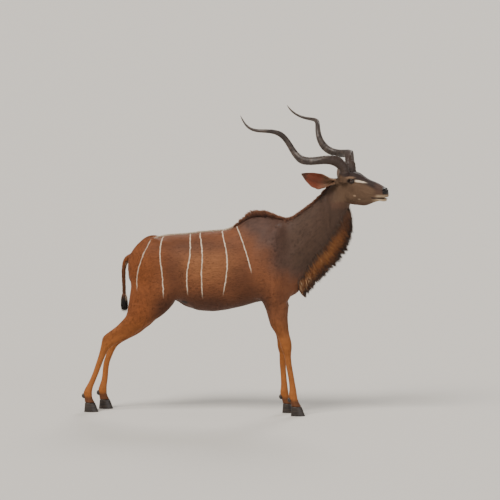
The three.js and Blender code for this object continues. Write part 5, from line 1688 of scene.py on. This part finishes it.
def horn_material():
    """Dark streaked horn, browner at its base and paler at its tip."""
    net = Net("kudu_horn")
    net.coordinates()
    streak = net.noise(26.0, 6.0, (1, 1, 1), 0.6)
    fine = net.noise(240.0, 4.0, (1, 1, 1), 0.3)
    colour = net.paint(tint("horn"), tint("horn_streak"), net.ramp(streak, 0.35, 0.75))
    base = net.ramp(net.a, -190, -80)
    colour = net.mark(colour, "horn_base", base, 0.7)
    pale = net.ramp(net.z, 2080, 2140)
    colour = net.mark(colour, "horn_tip", pale, 0.45)
    height = net.add(net.times(streak, 0.5), net.times(fine, 0.6))
    return net.finish(colour, net.add(0.34, net.times(fine, 0.3)), height, 0.5, 0.0018)


def hoof_material():
    """Dark horn with faint growth rings."""
    net = Net("kudu_hoof")
    net.coordinates()
    rings = net.noise(40.0, 3.0, (0.4, 0.4, 6.0))
    colour = net.paint(tint("hoof"), tint("hoof_streak"), net.ramp(rings, 0.35, 0.75))
    return net.finish(colour, 0.42, rings, 0.5, 0.0012)


def eye_material():
    """Brown iris with a level oval pupil under a wet surface."""
    net = Net("kudu_eye")
    net.coordinates()
    da = net.less(net.a, EYE_AT[0] + 1.5)
    dc = net.less(net.c, EYE_AT[2])
    far = net.op("SQRT", net.add(net.times(da, da), net.times(dc, dc)))
    fibre = net.noise(420.0, 3.0)
    colour = net.paint(tint("iris"), tint("iris_edge"), net.ramp(far, 6, 12))
    colour = net.paint(colour, tint("iris_fibres"), net.times(net.ramp(fibre, 0.5, 0.7), 0.4))
    colour = net.paint(colour, tint("eye_edge"), net.ramp(far, 12.6, 13.6))
    pupil = net.spot(net.a, net.c, (EYE_AT[0] + 1.5, EYE_AT[2]), (8.0, 4.4), 0.1)
    colour = net.mark(colour, "pupil", pupil)
    return net.finish(colour, 0.06, Coat_Weight=0.8, Coat_Roughness=0.03, IOR=1.42)


def plain_material(name, colour, roughness):
    """One colour and one roughness."""
    net = Net(name)
    net.put(net.shader.inputs["Base Color"], colour)
    net.shader.inputs["Roughness"].default_value = roughness
    return net.material


def give(obj, material):
    """Makes the material the object's only one."""
    obj.data.materials.clear()
    obj.data.materials.append(material)


def colour_setting(name, description, *display):
    """A colour of the panel, given as display values of 0 to 255."""
    return bpy.props.FloatVectorProperty(
        name=name, description=description, subtype="COLOR", size=4, min=0.0, max=1.0, default=rgb(*display)
    )


def count_setting(name, description, default):
    """A number of triangles, tufts or strands in the panel."""
    return bpy.props.IntProperty(name=name, description=description, default=default)


def length_setting(name, description, default):
    """A length of the panel, in metres."""
    return bpy.props.FloatProperty(name=name, description=description, default=default, unit="LENGTH")


def angle_setting(name, description, degrees):
    """An angle of the panel, given in degrees."""
    turn = math.radians(degrees)
    return bpy.props.FloatProperty(name=name, description=description, default=turn, subtype="ANGLE")


class KuduSettings(bpy.types.PropertyGroup):
    """Sizes, counts and colours that the operators use."""

    voxel: length_setting("Skin grid", "Grid size of the skin before it is thinned", 0.0034)
    skin_faces: count_setting("Skin triangles", "Triangles left in the skin", 180000)
    body_tufts: count_setting("Body tufts", "Short tufts on each side of the body", 17000)
    head_tufts: count_setting("Head tufts", "Short tufts on the head", 17000)
    leg_tufts: count_setting("Leg tufts", "Short tufts on each pair of legs", 14000)
    beard_strands: count_setting("Mane strands", "Strands in each part of the throat mane", 5200)
    crest_strands: count_setting("Crest strands", "Strands of the crest over the withers", 4600)
    nape_strands: count_setting("Nape strands", "Strands of the nape mane", 4200)
    line_strands: count_setting("Back line strands", "Strands of the pale line down the back", 2200)
    tail_strands: count_setting("Tail strands", "Strands of the tail and its tuft", 3600)
    ear_strands: count_setting("Ear strands", "Strands in each ear", 2600)
    lashes: count_setting("Lashes", "Lashes over each eye", 46)
    stripe_width: length_setting("Stripe width", "Width of the pale stripes down the flank", 0.0085)
    camera_turn: angle_setting("Camera turn", "Camera azimuth round the kudu", 4.0)
    camera_rise: angle_setting("Camera rise", "Camera height over the horizon", 5.5)
    camera_roll: angle_setting("Camera roll", "Tilt of the picture's horizon", 0.7)
    camera_distance: length_setting("Camera distance", "From the camera to the middle of the picture", 26.0)
    field: length_setting("Picture width", "Width of the picture at the kudu", 3.5)
    key_light: bpy.props.FloatProperty(
        name="Main light", description="Strength of the main light", default=3.4
    )
    flank: colour_setting("Flank", "Short hair over the ribs", 112, 66, 39)
    thigh: colour_setting("Thigh", "Short hair over rump, thigh and tail", 118, 64, 29)
    hump: colour_setting("Hump", "Short hair over the withers and shoulder", 70, 52, 46)
    neck: colour_setting("Neck", "Short hair over the neck", 70, 51, 40)
    limbs: colour_setting("Limbs", "Short hair over the lower limbs", 152, 90, 38)
    # Colour of the painted shade under the belly, in the flank hollows and behind the elbow.
    belly: colour_setting("Belly", "Dark hair under the belly", 68, 36, 19)
    # Also the colour of the painted shade between the forelegs and of the painted shadow at the sheath.
    darkest: colour_setting("Darkest hair", "Fringe of the throat mane and marks on the limbs", 30, 20, 17)
    crest: colour_setting("Crest", "Standing hair over the withers and nape", 88, 52, 36)
    mane: colour_setting("Throat mane", "Middle of the throat mane", 140, 84, 42)
    pale: colour_setting("Pale marks", "Stripes, back line and the mark between the eyes", 218, 200, 178)
    forehead: colour_setting("Forehead", "Dark hair of forehead and nose bridge", 42, 28, 24)
    cheek: colour_setting("Cheek", "Short hair of the cheeks", 90, 68, 51)
    nose: colour_setting("Nose", "Bare nose pad", 26, 22, 21)
    ear: colour_setting("Ear cup", "Inside of the ears", 132, 62, 38)
    horn: colour_setting("Horn", "Dark ground of the horns", 42, 31, 26)
    hoof: colour_setting("Hoof", "Dark ground of the hooves", 28, 23, 21)
    # Colour of the painted highlight on the middle of the flank.
    flank_painted_highlight: colour_setting("Lit flank", "Lighter hair on the middle of the flank", 150, 98, 60)
    pastern: colour_setting("Pastern", "Dark hair above the hooves", 64, 38, 26)
    eye_mark: colour_setting("Mark over the eye", "Pale hair over the eye", 132, 104, 80)
    cheek_spots: colour_setting("Cheek spots", "Pale spots on the cheeks", 176, 150, 124)
    jaw: colour_setting("Jaw", "Darker hair under the jaw", 82, 54, 42)
    muzzle: colour_setting("Muzzle", "Dark hair round the muzzle", 74, 52, 42)
    lips: colour_setting("Lips", "Pale hair of the upper lip", 150, 130, 106)
    chin: colour_setting("Chin", "Pale hair of the chin", 166, 144, 118)
    mouth: colour_setting("Mouth", "Gap between the lips", 40, 24, 22)
    mane_light: colour_setting("Light mane", "Lighter strands of the throat mane", 172, 116, 66)
    mane_high: colour_setting("High mane", "Throat mane close to the jaw", 84, 54, 38)
    mane_pale: colour_setting("Pale mane", "Pale strands low on the throat mane", 214, 186, 150)
    tail: colour_setting("Tail", "Hair along the tail", 100, 60, 36)
    tail_end: colour_setting("Tail tuft", "Black tuft at the end of the tail", 24, 17, 16)
    ear_back: colour_setting("Ear back", "Back of the ears", 92, 70, 54)
    ear_back_end: colour_setting("Ear back, end", "Back of the ears toward the tip", 70, 50, 40)
    ear_root: colour_setting("Ear root", "Cup of the ears at its root", 150, 116, 90)
    ear_tip: colour_setting("Ear tip", "Dark tips of the ears", 44, 28, 24)
    ear_hair_root: colour_setting("Ear hair root", "Roots of the hair in the ears", 118, 80, 58)
    ear_hair: colour_setting("Ear hair", "Middle of the hair in the ears", 150, 110, 84)
    ear_hair_end: colour_setting("Ear hair ends", "Ends of the hair in the ears", 74, 50, 38)
    horn_streak: colour_setting("Horn streaks", "Lighter streaks of the horns", 76, 64, 56)
    horn_base: colour_setting("Horn base", "Brown of the horns by the head", 50, 30, 20)
    horn_tip: colour_setting("Horn tip", "Pale ends of the horns", 120, 104, 88)
    hoof_streak: colour_setting("Hoof streaks", "Lighter growth rings of the hooves", 62, 50, 42)
    iris: colour_setting("Iris", "Middle of the iris", 74, 42, 22)
    iris_edge: colour_setting("Iris edge", "Outer part of the iris", 40, 22, 12)
    iris_fibres: colour_setting("Iris fibres", "Light fibres in the iris", 96, 60, 34)
    eye_edge: colour_setting("Eye edge", "Dark ground round the iris", 44, 30, 24)
    pupil: colour_setting("Pupil", "Pupil of the eyes", 5, 5, 7)
    lids: colour_setting("Lids", "Bare margins of the lids", 30, 22, 20)
    crest_root: colour_setting("Crest root", "Roots of the crest and the nape mane", 54, 36, 28)
    crest_end: colour_setting("Crest ends", "Ends of the crest and the nape mane", 134, 86, 58)
    backdrop: colour_setting("Backdrop", "Pale surroundings of the studio", 222, 220, 216)
    floor: colour_setting("Floor", "Pale floor under the kudu", 206, 202, 196)


BUILT = {}


class KUDU_OT_skin(bpy.types.Operator):
    """Builds one smooth skin over head, neck, trunk, limbs and tail"""

    bl_idname = "kudu.skin"
    bl_label = "Skin"

    def execute(self, context):
        settings = context.scene.kudu
        obj = build_skin(settings.voxel * (1))
        thin_skin(obj, settings.skin_faces)
        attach(obj, "root")
        flesh_nodes = [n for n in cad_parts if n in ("torso", "neck", "head", "tail")]
        flesh_nodes += [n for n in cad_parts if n.endswith(("_forearm", "_gaskin", "_cannon"))]
        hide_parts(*flesh_nodes)
        give(obj, coat_material(False))
        BUILT["skin"] = obj
        BUILT["unwrap"] = Unwrap()
        BUILT["unwrap"].streaks(obj.data)
        return {"FINISHED"}


class KUDU_OT_head(bpy.types.Operator):
    """Builds the eyes, their lids and the ears"""

    bl_idname = "kudu.head"
    bl_label = "Eyes and ears"

    def execute(self, context):
        eye = eye_material()
        lid = plain_material("kudu_lid", tint("lids"), 0.45)
        for side in (-1, 1):
            ball = build_eye(side)
            give(ball, eye)
            lids = build_lids(side)
            give(lids, lid)
            cup = build_ear(side)
            give(cup, ear_material(side))
        return {"FINISHED"}


class KUDU_OT_horns(bpy.types.Operator):
    """Builds the two spiral horns"""

    bl_idname = "kudu.horns"
    bl_label = "Horns"

    def execute(self, context):
        finish = horn_material()
        for side in (-1, 1):
            horn = build_horn(side)
            give(horn, finish)
        return {"FINISHED"}


class KUDU_OT_hooves(bpy.types.Operator):
    """Builds the cloven hooves and the dewclaws"""

    bl_idname = "kudu.hooves"
    bl_label = "Hooves"

    def execute(self, context):
        finish = hoof_material()
        for name, fore, far in LEGS:
            hooves = build_hooves(name, fore, far)
            give(hooves, finish)
        return {"FINISHED"}


class KUDU_OT_coat(bpy.types.Operator):
    """Lays short tufts over the skin"""

    bl_idname = "kudu.coat"
    bl_label = "Short coat"

    def execute(self, context):
        settings = context.scene.kudu
        few = 1.0
        mesh, unwrap = BUILT["skin"].data, BUILT["unwrap"]
        hair = coat_material(True)

        def on_head(p):
            a, _, _ = head_local(to_frame(p))
            return (p[:, 2] > 1400) & (a > -130)

        def on_leg(p):
            return p[:, 2] < 740

        def on_body(p):
            return ~on_head(p) & ~on_leg(p)

        regions = [
            ("coat_right", settings.body_tufts, lambda p: on_body(p) & (p[:, 1] < 0), "coat_body"),
            ("coat_left", settings.body_tufts, lambda p: on_body(p) & (p[:, 1] >= 0), "coat_body"),
            ("coat_head", settings.head_tufts, on_head, "coat_head"),
            ("coat_fore", settings.leg_tufts, lambda p: on_leg(p) & (p[:, 0] > 100), "coat_leg"),
            ("coat_hind", settings.leg_tufts, lambda p: on_leg(p) & (p[:, 0] <= 100), "coat_leg"),
        ]
        for k, (name, count, region, slot) in enumerate(regions):
            obj = short_coat(name, mesh, int(count * few), region, unwrap, RNG_SEED + 100 + k)
            give(obj, hair)
        return {"FINISHED"}


class KUDU_OT_manes(bpy.types.Operator):
    """Builds the throat mane, the crests, the tail tuft, ear hair and lashes"""

    bl_idname = "kudu.manes"
    bl_label = "Long hair"

    def execute(self, context):
        settings = context.scene.kudu
        unwrap = BUILT["unwrap"]
        few = 1.0
        beard = beard_material()
        for part in (0, 1):
            give(build_beard(unwrap, part, int(settings.beard_strands * few)), beard)
        rng = np.random.default_rng(RNG_SEED + 23)
        build_crest(unwrap, rng, settings.crest_strands)
        build_nape(unwrap, rng, settings.nape_strands)
        build_back_line(unwrap, rng, settings.line_strands)
        build_tail_hair(unwrap, settings.tail_strands)
        crest_tones = tint("crest_root"), tint("crest"), tint("crest_end")
        crest = long_hair_material("kudu_crest", *crest_tones, 0.55, 0.9)
        ear_tones = tint("ear_hair_root"), tint("ear_hair"), tint("ear_hair_end")
        ear = long_hair_material("kudu_ear_hair", *ear_tones, 0.7, 1.0)
        line = long_hair_material("kudu_back_line", *[tint("pale")] * 3, 0.8, 1.0)
        lash = long_hair_material("kudu_lash", *[tint("darkest")] * 3, 0.8, 1.0)
        for side in (-1, 1):
            build_ear_hair(side, unwrap, settings.ear_strands)
            build_lashes(side, unwrap, settings.lashes)
        finishes = {"withers_crest": crest, "nape_mane": crest, "back_line": line}
        finishes["tail_tuft"] = tail_material()
        for side in ("left", "right"):
            finishes["ear_hair_" + side] = ear
            finishes["lashes_" + side] = lash
        for name, material in finishes.items():
            give(bpy.data.objects[name], material)
        return {"FINISHED"}


def build_floor():
    """A wide level floor, part of the stage."""
    bm = bmesh.new()
    bmesh.ops.create_grid(bm, x_segments=1, y_segments=1, size=FLOOR_REACH)
    mesh = bpy.data.meshes.new("studio_floor")
    bm.to_mesh(mesh)
    bm.free()
    floor = new_object("studio_floor", mesh)
    give(floor, plain_material("studio_floor", tint("floor"), 0.8))


def aim_at_middle(place):
    """Turn that points from a place to the middle of the picture."""
    return (Vector(PICTURE_MIDDLE) - Vector(place)).to_track_quat("-Z", "Y")


def build_lights(scene, settings):
    """Even light from all round and three soft, distant lamps."""
    world = scene.world or bpy.data.worlds.new("studio")
    scene.world = world
    world.use_nodes = True
    back = world.node_tree.nodes["Background"]
    back.inputs["Color"].default_value = tint("backdrop")
    back.inputs["Strength"].default_value = ROOM_LIGHT
    for name, at, spread, power, colour in (
        ("key", (-2.6, -4.4, 7.6), 24.0, settings.key_light, (1.0, 0.95, 0.88)),
        ("fill", (6.0, -7.0, 3.5), 40.0, 0.6, (0.9, 0.95, 1.0)),
        ("rim", (1.5, 6.5, 6.0), 20.0, 1.2, (1.0, 0.97, 0.92)),
    ):
        data = bpy.data.lights.new(name, "SUN")
        data.angle, data.energy, data.color = math.radians(spread), power, colour
        lamp = bpy.data.objects.new(name, data)
        collection().objects.link(lamp)
        lamp.location = at
        lamp.rotation_euler = aim_at_middle(at).to_euler()


def build_camera(scene, settings):
    """The camera at the photo's angle, far off with a narrow view."""
    data = bpy.data.cameras.new("camera")
    camera = bpy.data.objects.new("camera", data)
    collection().objects.link(camera)
    turn, rise, away = settings.camera_turn, settings.camera_rise, settings.camera_distance
    camera.location = Vector(PICTURE_MIDDLE) + away * Vector(
        (math.sin(turn) * math.cos(rise), -math.cos(turn) * math.cos(rise), math.sin(rise))
    )
    aim = aim_at_middle(camera.location).to_matrix()
    camera.rotation_euler = (aim @ Matrix.Rotation(settings.camera_roll, 3, "Z")).to_euler()
    data.sensor_width = 36.0
    data.lens = data.sensor_width * away / settings.field
    data.clip_end = VIEW_REACH
    scene.camera = camera


class KUDU_OT_stage(bpy.types.Operator):
    """Sets the pale floor, the soft light and the camera at the photo's angle"""

    bl_idname = "kudu.stage"
    bl_label = "Studio"

    def execute(self, context):
        settings = context.scene.kudu
        build_floor()
        build_lights(context.scene, settings)
        build_camera(context.scene, settings)
        return {"FINISHED"}


class KUDU_PT_panel(bpy.types.Panel):
    """Buttons that build the kudu piece by piece"""

    bl_label = "Greater kudu bull"
    bl_idname = "KUDU_PT_panel"
    bl_space_type = "VIEW_3D"
    bl_region_type = "UI"
    bl_category = "Kudu"

    def draw(self, context):
        settings = context.scene.kudu
        for key in settings.bl_rna.properties.keys():
            if key not in ("rna_type", "name"):
                self.layout.prop(settings, key)
        for operator in OPERATORS:
            self.layout.operator(operator.bl_idname)


OPERATORS = (
    KUDU_OT_skin,
    KUDU_OT_head,
    KUDU_OT_horns,
    KUDU_OT_hooves,
    KUDU_OT_coat,
    KUDU_OT_manes,
    KUDU_OT_stage,
)
CLASSES = (KuduSettings, *OPERATORS, KUDU_PT_panel)


def register():
    """Adds the settings, operators and panel."""
    for cls in CLASSES:
        bpy.utils.register_class(cls)
    bpy.types.Scene.kudu = bpy.props.PointerProperty(type=KuduSettings)


def unregister():
    """Takes the settings, operators and panel out again."""
    del bpy.types.Scene.kudu
    for cls in reversed(CLASSES):
        bpy.utils.unregister_class(cls)


def main():
    """Builds the kudu and its studio."""
    register()
    bpy.ops.kudu.skin()
    bpy.ops.kudu.head()
    bpy.ops.kudu.horns()
    bpy.ops.kudu.hooves()
    bpy.ops.kudu.coat()
    bpy.ops.kudu.manes()
    bpy.ops.kudu.stage()


if __name__ == "__main__":
    main()
